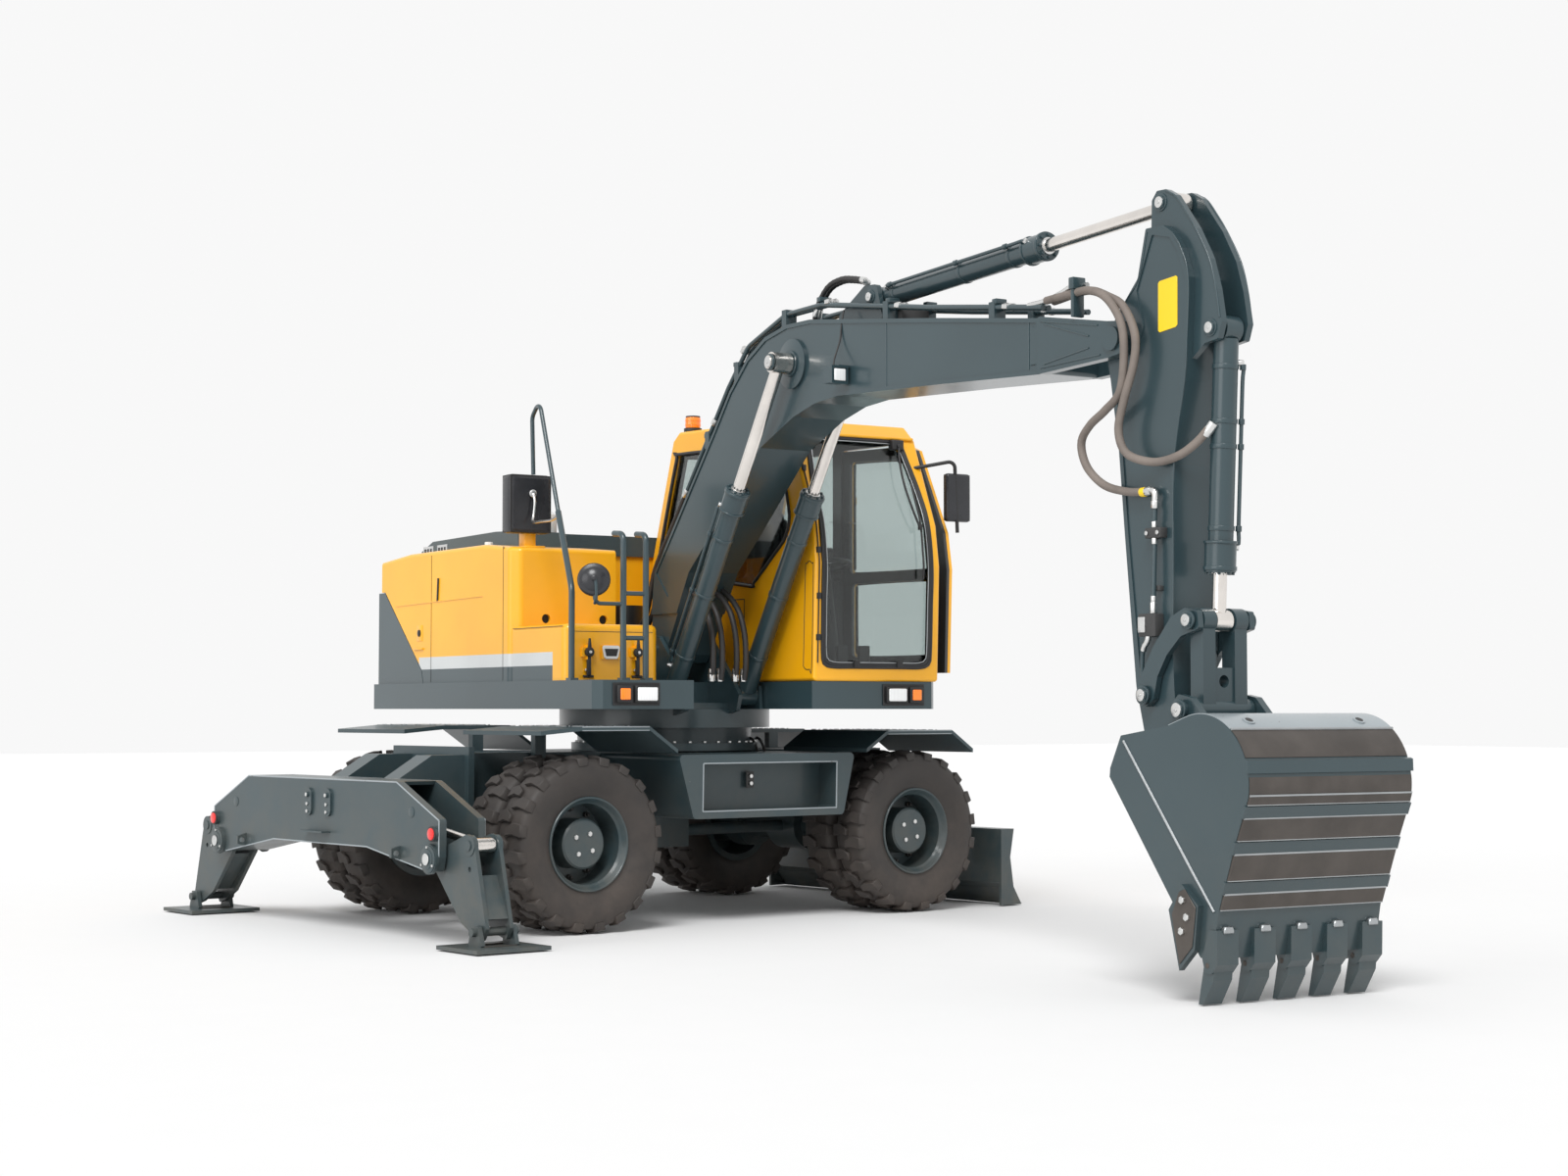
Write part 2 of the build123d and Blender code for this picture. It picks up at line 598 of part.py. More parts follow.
# Stabiliser legs with their pads, and their cylinders
leg_inner = (leg_x[0] + leg_plate, leg_x[1] - leg_plate)
pad_top = pad_clearance + pad_thickness
for name, side in (("right", -1), ("left", 1)):

    with BuildPart() as leg:
        plate_outline = [
            (leg_pivot[0] - 78, leg_pivot[1] + 20),
            (leg_pivot[0] - 40, leg_pivot[1] + 72),
            (leg_pivot[0] + 60, leg_pivot[1] + 76),
            (leg_cylinder_pin[0] - 30, leg_cylinder_pin[1] + 62),
            (leg_cylinder_pin[0] + 45, leg_cylinder_pin[1] + 40),
            (pad_pin[0] + 62, pad_pin[1] + 20),
            (pad_pin[0] + 20, pad_pin[1] - 50),
            (pad_pin[0] - 55, pad_pin[1] - 30),
            (pad_pin[0] - 200, pad_pin[1] + 40),
            (leg_pivot[0] - 50, leg_pivot[1] - 75),
        ]
        for x_pair in ((leg_x[0], leg_inner[0]), (leg_inner[1], leg_x[1])):
            cross_slab(to_side(side, plate_outline), x_pair[0], x_pair[1], corner=18)
        web = [
            (leg_cylinder_pin[0] + 16, leg_cylinder_pin[1] - 165),
            (leg_cylinder_pin[0] + 36, leg_cylinder_pin[1] - 165),
            (pad_pin[0] + 44, pad_pin[1] + 70),
            (pad_pin[0] + 24, pad_pin[1] + 70),
        ]
        cross_slab(to_side(side, web), leg_inner[0], leg_inner[1])
        inner_web = [
            (leg_pivot[0] + 10, leg_pivot[1] - 90),
            (leg_pivot[0] + 34, leg_pivot[1] - 90),
            (pad_pin[0] - 110, pad_pin[1] + 50),
            (pad_pin[0] - 134, pad_pin[1] + 50),
        ]
        cross_slab(to_side(side, inner_web), leg_inner[0], leg_inner[1])
        long_pin((side * leg_pivot[0], leg_pivot[1]), 62, leg_x[0], leg_x[1])
        leg_pin_place = (side * leg_pivot[0], leg_pivot[1])
        long_pin(leg_pin_place, leg_pin_radius + pin_clearance, leg_x[0], leg_x[1], mode=Mode.SUBTRACT)
        for x_pair in ((leg_x[0] - 12, leg_inner[0]), (leg_inner[1], leg_x[1] + 12)):
            long_pin((side * leg_cylinder_pin[0], leg_cylinder_pin[1]), 28, x_pair[0], x_pair[1])
        for x_pair in ((leg_x[0] - 5, leg_inner[0]), (leg_inner[1], leg_x[1] + 5)):
            long_pin((side * leg_cylinder_pin[0], leg_cylinder_pin[1]), 58, x_pair[0], x_pair[1])
        # Hole through both plates below the cylinder's pin
        plate_hole = (side * (leg_cylinder_pin[0] + 5), leg_cylinder_pin[1] - 130)
        long_pin(plate_hole, 15, leg_x[0] - 5, leg_inner[0] + 5, mode=Mode.SUBTRACT)
        long_pin((side * pad_pin[0], pad_pin[1]), 24, leg_x[0] - 60, leg_x[1] + 60)
    leg.part.label = f"stabiliser_leg_{name}"
    export_step(leg.part.moved(swing), f"parts/stabiliser_leg_{name}.step")

    with BuildPart() as pad:
        block(
            (leg_x[0] - 150, leg_x[1] + 150),
            (side * (pad_pin[0] - 210), side * (pad_pin[0] + 210)),
            (pad_clearance, pad_top),
        )
        ear = [
            (pad_pin[0] - 70, pad_top),
            (pad_pin[0] - 34, pad_pin[1] + 34),
            (pad_pin[0] + 34, pad_pin[1] + 34),
            (pad_pin[0] + 70, pad_top),
        ]
        for x_pair in ((leg_x[0] - 34, leg_x[0] - 8), (leg_x[1] + 8, leg_x[1] + 34)):
            cross_slab(to_side(side, ear), x_pair[0], x_pair[1], corner=8)
        pad_pin_place = (side * pad_pin[0], pad_pin[1])
        long_pin(pad_pin_place, 24 + pin_clearance, leg_x[0] - 70, leg_x[1] + 70, mode=Mode.SUBTRACT)
    pad.part.label = f"stabiliser_pad_{name}"
    export_step(pad.part.moved(swing), f"parts/stabiliser_pad_{name}.step")

    base = (side * stabiliser_base_pin[0], stabiliser_base_pin[1])
    eye = (side * leg_cylinder_pin[0], leg_cylinder_pin[1])
    barrel_end = along(base, eye, stabiliser_barrel_length)
    with BuildPart() as barrel:
        start = along(base, eye, eye_radius - 10)
        bar((leg_middle_x, *start), (leg_middle_x, *barrel_end), stabiliser_barrel_radius)
        long_pin(base, eye_radius, leg_middle_x - 45, leg_middle_x + 45)
        long_pin(base, 25 + pin_clearance, leg_middle_x - 50, leg_middle_x + 50, mode=Mode.SUBTRACT)
        bore_start = along(base, eye, eye_radius + 40)
        bar((leg_middle_x, *bore_start), (leg_middle_x, *along(base, eye, stabiliser_barrel_length + 5)),
            stabiliser_rod_radius + pin_clearance, mode=Mode.SUBTRACT)
    barrel.part.label = f"stabiliser_barrel_{name}"
    export_step(barrel.part.moved(swing), f"parts/stabiliser_barrel_{name}.step")
    with BuildPart() as rod:
        rod_start = along(base, eye, stabiliser_rod_start)
        bar((leg_middle_x, *rod_start), (leg_middle_x, *along(base, eye, hypot(eye[0] - base[0], eye[1] - base[1]) - 20)),
            stabiliser_rod_radius)
        long_pin(eye, 42, leg_inner[0] + 6, leg_inner[1] - 6)
    rod.part.label = f"stabiliser_rod_{name}"
    export_step(rod.part.moved(swing), f"parts/stabiliser_rod_{name}.step")

# Blade with its arms
blade_low = blade_clearance
mould = [
    (blade_back_x, blade_top_z),
    (blade_back_x + 120, blade_top_z),
    (blade_back_x + 75, blade_top_z - 190),
    (blade_back_x + 105, blade_top_z - 390),
    (blade_back_x + 180, blade_low),
    (blade_back_x + 140, blade_low),
    (blade_back_x + 60, blade_top_z - 400),
    (blade_back_x, blade_top_z - 360),
]
end_plate = [
    (blade_back_x, blade_top_z),
    (blade_back_x + 120, blade_top_z),
    (blade_back_x + 85, blade_top_z - 190),
    (blade_back_x + 115, blade_top_z - 390),
    (blade_back_x + 190, blade_low),
    (blade_back_x, blade_low),
]
with BuildPart() as blade:
    slab(mould, -blade_half_width, blade_half_width)
    for side in (-1, 1):
        slab(end_plate, side * (blade_half_width - 20), side * blade_half_width)
        arm = [
            (blade_pivot[0] - 60, blade_pivot[1] - 45),
            (blade_pivot[0] - 60, blade_pivot[1] + 45),
            (blade_pivot[0] + 60, blade_pivot[1] + 45),
            (blade_back_x + 5, blade_top_z - 70),
            (blade_back_x + 5, blade_top_z - 270),
            (blade_pivot[0] + 80, blade_pivot[1] - 120),
        ]
        slab(arm, side * blade_arm_y[0], side * blade_arm_y[1], corner=15)
        arm_ends = (side * (blade_arm_y[0] - 5), side * (blade_arm_y[1] + 5))
        cross_pin(blade_pivot, 35 + pin_clearance, *arm_ends, mode=Mode.SUBTRACT)
        for offset in (-50, 34):
            low = side * blade_cylinder_y + offset
            rod_ear = [
                (blade_back_x + 5, blade_rod_pin[1] + 90),
                (blade_rod_pin[0] - 38, blade_rod_pin[1] + 20),
                (blade_rod_pin[0] - 38, blade_rod_pin[1] - 20),
                (blade_back_x + 5, blade_rod_pin[1] - 90),
            ]
            slab(rod_ear, low, low + 16)
blade.part.label = "blade"
export_step(blade.part.moved(swing), "parts/blade.step")

blade_length = hypot(blade_rod_pin[0] - blade_base_pin[0], blade_rod_pin[1] - blade_base_pin[1])
with BuildPart() as blade_barrels:
    for side in (-1, 1):
        y = side * blade_cylinder_y
        start = along(blade_base_pin, blade_rod_pin, 30)
        end = along(blade_base_pin, blade_rod_pin, blade_barrel_length)
        bar(side_point(start, y), side_point(end, y), blade_barrel_radius)
        cross_pin(blade_base_pin, 40, y - 28, y + 28)
        cross_pin(blade_base_pin, 25 + pin_clearance, y - 38, y + 38, mode=Mode.SUBTRACT)
        bore = along(blade_base_pin, blade_rod_pin, 60)
        past = along(blade_base_pin, blade_rod_pin, blade_barrel_length + 5)
        bar(side_point(bore, y), side_point(past, y), blade_rod_radius + pin_clearance, mode=Mode.SUBTRACT)
blade_barrels.part.label = "blade_barrels"
export_step(blade_barrels.part.moved(swing), "parts/blade_barrels.step")
with BuildPart() as blade_rods:
    for side in (-1, 1):
        y = side * blade_cylinder_y
        start = along(blade_base_pin, blade_rod_pin, blade_rod_start)
        end = along(blade_base_pin, blade_rod_pin, blade_length - 15)
        bar(side_point(start, y), side_point(end, y), blade_rod_radius)
        cross_pin(blade_rod_pin, 32, y - 28, y + 28)
blade_rods.part.label = "blade_rods"
export_step(blade_rods.part.moved(swing), "parts/blade_rods.step")

# Upper structure: deck with skirt, boom brackets and the upper half of the slew ring
tail_side_x = -sqrt(tail_radius**2 - deck_half_width**2)
with BuildPart() as upper_frame:
    with BuildSketch(Plane.XY.offset(deck_bottom_z)):
        with BuildLine():
            ThreePointArc((tail_side_x, deck_half_width), (-tail_radius, 0), (tail_side_x, -deck_half_width))
            Polyline(
                (tail_side_x, -deck_half_width),
                (deck_front_x - 50, -deck_half_width),
                (deck_front_x, -deck_half_width + 50),
                (deck_front_x, notch_right_y),
                (notch_back_x, notch_right_y),
                (notch_back_x, notch_left_y),
                (deck_front_x, notch_left_y),
                (deck_front_x, deck_half_width - 50),
                (deck_front_x - 50, deck_half_width),
                (tail_side_x, deck_half_width),
            )
        make_face()
    extrude(amount=deck_top_z - deck_bottom_z)
    with Locations((0, 0, (ring_top_z + slew_gap + deck_bottom_z) / 2)):
        Cylinder(upper_disc_radius, deck_bottom_z - ring_top_z - slew_gap)
    bracket = [
        (-650, deck_bottom_z),
        (-650, deck_top_z + 60),
        (boom_foot[0] - 230, boom_foot[1] + 40),
        (boom_foot[0] - 60, boom_foot[1] + 95),
        (boom_foot[0] + 70, boom_foot[1] + 85),
        (boom_cylinder_base[0] + 10, boom_cylinder_base[1] + 85),
        (boom_cylinder_base[0] + 85, boom_cylinder_base[1]),
        (boom_cylinder_base[0] + 50, deck_bottom_z - 10),
        (boom_cylinder_base[0] - 100, deck_bottom_z - 40),
    ]
    outer_lug = [
        (notch_back_x - 20, deck_bottom_z),
        (notch_back_x - 20, deck_top_z),
        (boom_cylinder_base[0] - 40, boom_cylinder_base[1] + 80),
        (boom_cylinder_base[0] + 60, boom_cylinder_base[1] + 60),
        (boom_cylinder_base[0] + 75, deck_bottom_z),
    ]
    for y_from, y_to in both_sides(bracket_inner_y, bracket_inner_y + bracket_thickness):
        slab(bracket, y_from, y_to)
    for y_from, y_to in both_sides(boom_cylinder_y + 67, boom_cylinder_y + 91):
        slab(outer_lug, y_from, y_to)
    for y_from, y_to in both_sides(bracket_inner_y, boom_cylinder_y + 95):
        cross_pin(boom_cylinder_base, 35, y_from, y_to)
    cross_pin(boom_foot, 40, boom_y - bracket_inner_y - 45, boom_y + bracket_inner_y + 45)
    notch_x = (notch_back_x - 5, boom_cylinder_base[0] - 60)
    block(notch_x, (boom_y - 180, boom_y + 180), (deck_bottom_z, deck_bottom_z + 40))
upper_frame.part.label = "upper_frame"
export_step(upper_frame.part, "parts/upper_frame.step")

# Counterweight: tail segment cut along a slope at its sides
with BuildPart() as counterweight:
    tail_x = -sqrt(tail_radius**2 - body_half_width**2)
    with BuildSketch(Plane.XY.offset(deck_top_z)):
        with BuildLine():
            ThreePointArc((tail_x, body_half_width), (-tail_radius, 0), (tail_x, -body_half_width))
            Polyline(
                (tail_x, -body_half_width),
                (-1240, -body_half_width),
                (-1240, body_half_width),
                (tail_x, body_half_width),
            )
        make_face()
    extrude(amount=counterweight_top_z - deck_top_z)
    keep = [
        (-2500, deck_top_z),
        (-1240, deck_top_z),
        (-1275, stripe_bottom_z),
        (-1915, counterweight_top_z),
        (-2500, counterweight_top_z),
    ]
    slab(keep, -body_half_width - 10, body_half_width + 10, mode=Mode.INTERSECT)
    block((-1800, -1200), (-900, 900), (deck_top_z, counterweight_top_z + 1), mode=Mode.SUBTRACT)
counterweight.part.label = "counterweight"
export_step(counterweight.part, "parts/counterweight.step")

# Hood: side panels, tail and front face as one shell over the engine
hood_side = [
    (hood_rear_x, counterweight_top_z + 5),
    (-1915 + 6, counterweight_top_z + 5),
    (-1275 + 8, stripe_bottom_z),
    (-1240 + 8, deck_top_z),
    (hood_front_x, deck_top_z),
    (hood_front_x, hood_top_z - 10),
    (-300, hood_top_z + 30),
    (-1500, hood_top_z + 30),
    (hood_rear_x, hood_top_z - 20),
]


def hood_plan(inset):
    """Plan of the hood, drawn in by the inset: full width behind the cab, right side only beside it."""
    rear = hood_rear_x + inset
    return [
        (rear + 60, -body_half_width + 180 + inset),
        (rear + 260, -body_half_width + inset),
        (hood_front_x - 60 - inset, -body_half_width + inset),
        (hood_front_x - inset, -body_half_width + 60 + inset),
        (hood_front_x - inset, hood_inner_y - inset),
        (hood_back_front_x - inset, hood_inner_y - inset),
        (hood_back_front_x - inset, body_half_width - inset),
        (rear + 260, body_half_width - inset),
        (rear + 60, body_half_width - 180 - inset),
        (rear, 500),
        (rear, -500),
    ]


with BuildPart() as hood:
    plan_slab(hood_plan(0), deck_top_z, hood_top_z + 40)
    slab(hood_side, -body_half_width - 10, body_half_width + 10, mode=Mode.INTERSECT)
    upright_edges = hood.edges().filter_by(Axis.Z)
    fillet(upright_edges.filter_by(lambda e: e.center().X > 0 and e.center().Y < -1000), hood_corner)
    top_face = hood.faces().sort_by(Axis.Z)[-1]
    top_edges = top_face.edges().filter_by(lambda e: abs(e.center().Y) > body_half_width - 5)
    fillet(top_edges, hood_edge)
    plan_slab(hood_plan(hood_wall), deck_top_z - 10, hood_top_z - 60, mode=Mode.SUBTRACT)
    # Round vents in the front face, above the storage box
    for y in (hood_inner_y - 90, -body_half_width + 238):
        long_pin((y, tank_top_z + 55), vent_radius, hood_front_x - hood_wall - 5, hood_front_x + 5, mode=Mode.SUBTRACT)
hood.part.label = "hood"
export_step(hood.part, "parts/hood.step")

# Raised hood top with its grilles
with BuildPart() as hood_top:
    top = [
        (-2180, hood_top_z),
        (-2150, hood_top_z + 90),
        (-1950, hood_top_z + 155),
        (-900, hood_top_z + 165),
        (-560, hood_top_z + 150),
        (-540, hood_top_z + 20),
        (-1500, hood_top_z + 20),
    ]
    slab(top, -820, 900)
    block((-780, -200), (hood_inner_y - 8, 1000), (hood_top_z - 100, hood_top_z + 200), mode=Mode.SUBTRACT)
    add(hood.part, mode=Mode.SUBTRACT)
    # Grille slots across the top
    for index in range(grille_slots):
        x = -1780 + index * 100
        block((x, x + 45), (-640, 720), (hood_top_z + 155 - grille_depth, hood_top_z + 200), mode=Mode.SUBTRACT)
    with Locations((-740, -560, hood_top_z + 190)):
        Cylinder(95, 140)
hood_top.part.label = "hood_top"
export_step(hood_top.part, "parts/hood_top.step")

# Engine, one plain block on the deck
with BuildPart() as engine_block:
    block((-1760, -900), (-500, 500), (deck_top_z, 2200))
engine_block.part.label = "engine_block"
export_step(engine_block.part, "parts/engine_block.step")

# Low storage box in front of the hood
with BuildPart() as storage_box:
    block((hood_front_x + 5, tank_front_x), (-body_half_width, tank_inner_y), (deck_top_z, tank_top_z))
    fillet(storage_box.edges().filter_by(Axis.Z).sort_by(Axis.X)[-2:], 60)
    top_face = storage_box.faces().sort_by(Axis.Z)[-1]
    fillet(top_face.edges().filter_by(lambda e: e.center().X > hood_front_x + 20), 35)
    for y in (tank_inner_y - 170, tank_inner_y - 510):
        block((tank_front_x - 5, tank_front_x + 22), (y - 42, y + 42), (tank_latch_z - 28, tank_latch_z + 28))
        block((tank_front_x - 5, tank_front_x + 34), (y - 14, y + 14), (tank_latch_z - 46, tank_latch_z + 46))
    handle_y = tank_inner_y - 350
    block((tank_front_x - 5, tank_front_x + 14), (handle_y - 62, handle_y + 62), (tank_latch_z - 42, tank_latch_z + 42))
    handle_recess_z = (tank_latch_z - 28, tank_latch_z + 28)
    block((tank_front_x - 3, tank_front_x + 20), (handle_y - 48, handle_y + 48), handle_recess_z, mode=Mode.SUBTRACT)
storage_box.part.label = "storage_box"
export_step(storage_box.part, "parts/storage_box.step")

# Cab shell with its windows and door opening cut out
cab_side = [
    (-700, cab_floor_z),
    (1400, cab_floor_z),
    (1425, 2250),
    (1385, 2520),
    (1140, 3095),
    (1030, 3190),
    (-330, 3235),
    (-415, 3180),
    (-715, 2350),
]
cab_inner = [
    (-650, cab_floor_z + 60),
    (1345, cab_floor_z + 60),
    (1370, 2250),
    (1333, 2505),
    (1095, 3065),
    (1005, 3135),
    (-320, 3178),
    (-370, 3150),
    (-662, 2345),
]
windscreen = [(350, 1605), (1170, 1605), (1170, 2700), (1110, 3075), (400, 3075), (350, 2700)]
right_window = [(1085, 2430), (1120, 2560), (985, 3020), (-340, 3080), (-590, 2400), (-590, 2300), (640, 2130)]
rear_window = [(410, 2450), (1120, 2450), (1120, 3080), (410, 3080)]
left_window = [(220, 2350), (220, 3080), (-330, 3090), (-590, 2400), (-590, 2300)]
door_outline = [
    (335, 1565),
    (1318, 1565),
    (1340, 2240),
    (1305, 2480),
    (1060, 3040),
    (980, 3075),
    (335, 3085),
]
door_opening = [
    (335 - door_gap, 1565 - door_gap),
    (1318 + door_gap, 1565 - door_gap),
    (1340 + door_gap, 2240),
    (1305 + door_gap, 2480 + 4),
    (1060 + door_gap, 3040 + 8),
    (980, 3075 + door_gap),
    (335 - door_gap, 3085 + door_gap),
]
door_window = [(400, 2250), (1255, 2250), (1240, 2440), (1005, 2985), (400, 3010)]
door_low_window = [(420, 1680), (1240, 1680), (1262, 2180), (420, 2180)]
with BuildPart() as cab:
    slab(cab_side, cab_right_y, cab_left_y, corner=18)
    fillet(cab.faces().sort_by(Axis.Y)[0].edges(), cab_edge)
    fillet(cab.faces().sort_by(Axis.Y)[-1].edges(), cab_edge)
    slab(cab_inner, cab_right_y + cab_wall, cab_left_y - cab_wall, mode=Mode.SUBTRACT)
    slab(door_opening, cab_left_y - cab_wall - 5, cab_left_y + 5, mode=Mode.SUBTRACT)
    slab(left_window, cab_left_y - cab_wall - 5, cab_left_y + 5, corner=30, mode=Mode.SUBTRACT)
    slab(right_window, cab_right_y - 5, cab_right_y + cab_wall + 5, corner=25, mode=Mode.SUBTRACT)
    cross_slab(windscreen, 1150, 1450, corner=40, mode=Mode.SUBTRACT)
    cross_slab([(400, 2800), (1120, 2800), (1080, 3090), (440, 3090)], 1000, 1200, corner=30, mode=Mode.SUBTRACT)
    cross_slab(rear_window, -800, -340, corner=40, mode=Mode.SUBTRACT)
    for z in (1850, 2750):
        with Locations((door_hinge[0], door_hinge[1], z)):
            Cylinder(hinge_pin_radius, 110)
        for lift in (-42, 42):
            hinge_z = (z + lift - 12, z + lift + 12)
            block((door_hinge[0] - 30, door_hinge[0] + 12), (cab_left_y - 2, door_hinge[1] + 14), hinge_z)
cab.part.label = "cab"
export_step(cab.part, "parts/cab.step")

# Fixed panes, at the middle of the walls
pane_inset = (cab_wall - glass_thickness) / 2
with BuildPart() as cab_glass:
    slab(left_window, cab_left_y - pane_inset, cab_left_y - pane_inset - glass_thickness, corner=30)
    slab(right_window, cab_right_y + pane_inset, cab_right_y + pane_inset + glass_thickness, corner=25)
# Windscreen and rear pane: the shell's own outline between two offsets, seen through the cut
with BuildPart() as screen_glass:
    screen_outer = [(1378, 1600), (1403, 2250), (1366, 2512), (1122, 3080)]
    screen_inner = [(1114, 3076), (1358, 2509), (1395, 2249), (1370, 1600)]
    slab(screen_outer + screen_inner, cab_right_y + 10, cab_left_y - 10)
    cross_slab(windscreen, 1000, 1500, corner=40, mode=Mode.INTERSECT)
with BuildPart() as rear_glass:
    rear_outer = [(-403, 3110), (-660, 2400), (-652, 2397), (-395, 3107)]
    slab(rear_outer, cab_right_y + 10, cab_left_y - 10)
    cross_slab(rear_window, -800, -340, corner=40, mode=Mode.INTERSECT)
with BuildPart() as all_glass:
    add(cab_glass.part)
    add(screen_glass.part)
    add(rear_glass.part)
    add(cab.part, mode=Mode.SUBTRACT)
all_glass.part.label = "cab_glass"
export_step(all_glass.part, "parts/cab_glass.step")

# Door, drawn shut and then set ajar about its hinge
door_turn = Location((*door_hinge, 0), (0, 0, door_ajar)) * Location((-door_hinge[0], -door_hinge[1], 0))
with BuildPart() as cab_door:
    slab(door_outline, cab_left_y - cab_wall, cab_left_y)
    slab(door_window, cab_left_y - cab_wall - 5, cab_left_y + 5, corner=30, mode=Mode.SUBTRACT)
    slab(door_low_window, cab_left_y - cab_wall - 5, cab_left_y + 5, corner=30, mode=Mode.SUBTRACT)
    for z in (1850, 2750):
        block((door_hinge[0] + 10, door_hinge[0] + 70), (cab_left_y - 5, door_hinge[1] + 8), (z - 24, z + 24))
        with Locations((door_hinge[0], door_hinge[1], z)):
            Cylinder(16, 48)
            Cylinder(hinge_pin_radius + pin_clearance, 60, mode=Mode.SUBTRACT)
cab_door.part.label = "cab_door"
export_step(cab_door.part.moved(door_turn), "parts/cab_door.step")
with BuildPart() as door_glass:
    slab(door_window, cab_left_y - pane_inset, cab_left_y - pane_inset - glass_thickness, corner=30)
    slab(door_low_window, cab_left_y - pane_inset, cab_left_y - pane_inset - glass_thickness, corner=30)
door_glass.part.label = "door_glass"
export_step(door_glass.part.moved(door_turn), "parts/door_glass.step")

# Seat and console inside the cab
cab_middle_y = (cab_right_y + cab_left_y) / 2
with BuildPart() as seat:
    block((-60, 420), (cab_middle_y - 240, cab_middle_y + 240), (1980, 2100))
    back = [(-60, 2060), (40, 2060), (-60, 2700), (-160, 2700)]
    slab(back, cab_middle_y - 230, cab_middle_y + 230, corner=25)
    head = [(-75, 2730), (-5, 2720), (-25, 2900), (-95, 2900)]
    slab(head, cab_middle_y - 130, cab_middle_y + 130, corner=20)
    slab([(-130, 2680), (-70, 2680), (-50, 2760), (-85, 2760)], cab_middle_y - 60, cab_middle_y + 60)
seat.part.label = "seat"
export_step(seat.part, "parts/seat.step")
with BuildPart() as console:
    block((-80, 400), (cab_middle_y - 200, cab_middle_y + 200), (cab_floor_z + 60, 1980))
    for side in (-1, 1):
        y = cab_middle_y + side * 310
        block((-120, 420), (y - 60, y + 60), (cab_floor_z + 60, 2200))
        bar((340, y, 2195), (350, y, 2360), 18)
    bar((900, cab_middle_y, cab_floor_z + 40), (760, cab_middle_y, 2260), 45)
    with Locations(Plane(origin=(757, cab_middle_y, 2270), z_dir=(-0.2, 0, 1))):
        Torus(180, 15)
        Box(350, 30, 16)
        Cylinder(40, 40)
    add(cab.part, mode=Mode.SUBTRACT)
console.part.label = "console"
export_step(console.part, "parts/console.step")

# Handrails on the right of the deck
with BuildPart() as handrails:
    rail_y = -deck_half_width + 23
    mirror_rail_y = -body_half_width + 100
    ladder_y = (-deck_half_width + 260, -deck_half_width + 415)
    ladder_x = deck_front_x - 140
    tube([(1030, rail_y, deck_top_z), (1030, rail_y, 2060), (640, rail_y + 102, 2560)], rail_radius, 120)
    tube(
        [
            (650, rail_y + 100, 2545),
            (330, mirror_rail_y, 3290),
            (205, mirror_rail_y + 10, 3200),
            (205, mirror_rail_y + 20, 2830),
        ],
        mirror_rail_radius,
        60,
    )
    for y in ladder_y:
        tube([(ladder_x, y, deck_top_z), (ladder_x, y, 2390), (ladder_x - 120, y, 2400)], rail_radius, 50)
    for z in (1760, 2030):
        bar((ladder_x, ladder_y[0], z), (ladder_x, ladder_y[1], z), mirror_rail_radius)
    box_post_y = ladder_y[0] - 195
    tube([(ladder_x, ladder_y[0], 1965), (ladder_x, box_post_y, 1965), (ladder_x, box_post_y, 2100)], 12, 40)
    for x, y in ((1030, rail_y), (ladder_x, ladder_y[0]), (ladder_x, ladder_y[1])):
        block((x - 32, x + 32), (y - 22, y + 32), (deck_top_z, deck_top_z + 14))
handrails.part.label = "handrails"
export_step(handrails.part, "parts/handrails.step")

# Mirrors: right rear box mirror, round front mirror, left cab mirror
with BuildPart() as mirrors:
    block((-60, 10), (-1040, -980), (hood_top_z - 30, 2640))
    block((-60, 60), (-1170, -880), (2470, 2840))
    with Locations(Plane(origin=(1235, -1178, 2108), z_dir=(0.85, -0.45, 0.1))):
        Cylinder(100, 24)
    add(handrails.part, mode=Mode.SUBTRACT)
    add(hood.part, mode=Mode.SUBTRACT)
    tube([(1200, 1170, 2900), (1370, 1400, 2950), (1370, 1420, 2480)], 12, 40)
    block((1330, 1372), (1340, 1520), (2560, 2860))
    add(cab.part, mode=Mode.SUBTRACT)
mirrors.part.label = "mirrors"
export_step(mirrors.part, "parts/mirrors.step")

# Lamps in the skirt, and the beacon on the cab's roof
with BuildPart() as lamps:
    for side in (-1, 1):
        block((deck_front_x, deck_front_x + 12), (side * 830, side * 1120), (lamp_z - 55, lamp_z + 55))
        for y in lamp_y:
            long_pin((side * y, lamp_z), lamp_radius, deck_front_x + 5, deck_front_x + 24)
            long_pin((side * y, lamp_z), lamp_radius - 10, deck_front_x + 16, deck_front_x + 30, mode=Mode.SUBTRACT)
            long_pin((side * y, lamp_z), lamp_radius - 14, deck_front_x + 12, deck_front_x + 20)
    with Locations((*beacon_place, 3230)):
        Cylinder(62, 60)
    with Locations((*beacon_place, 3300)):
        Cylinder(50, 90)
    add(cab.part, mode=Mode.SUBTRACT)
lamps.part.label = "lamps"
export_step(lamps.part, "parts/lamps.step")

# Valve block and swing motor behind the boom's foot
with BuildPart() as hydraulics:
    block((-640, -120), (boom_y - 160, boom_y + 160), (deck_top_z, 1850))
    with Locations((-380, boom_y, 1900)):
        Cylinder(120, 260)
hydraulics.part.label = "hydraulics"
export_step(hydraulics.part, "parts/hydraulics.step")

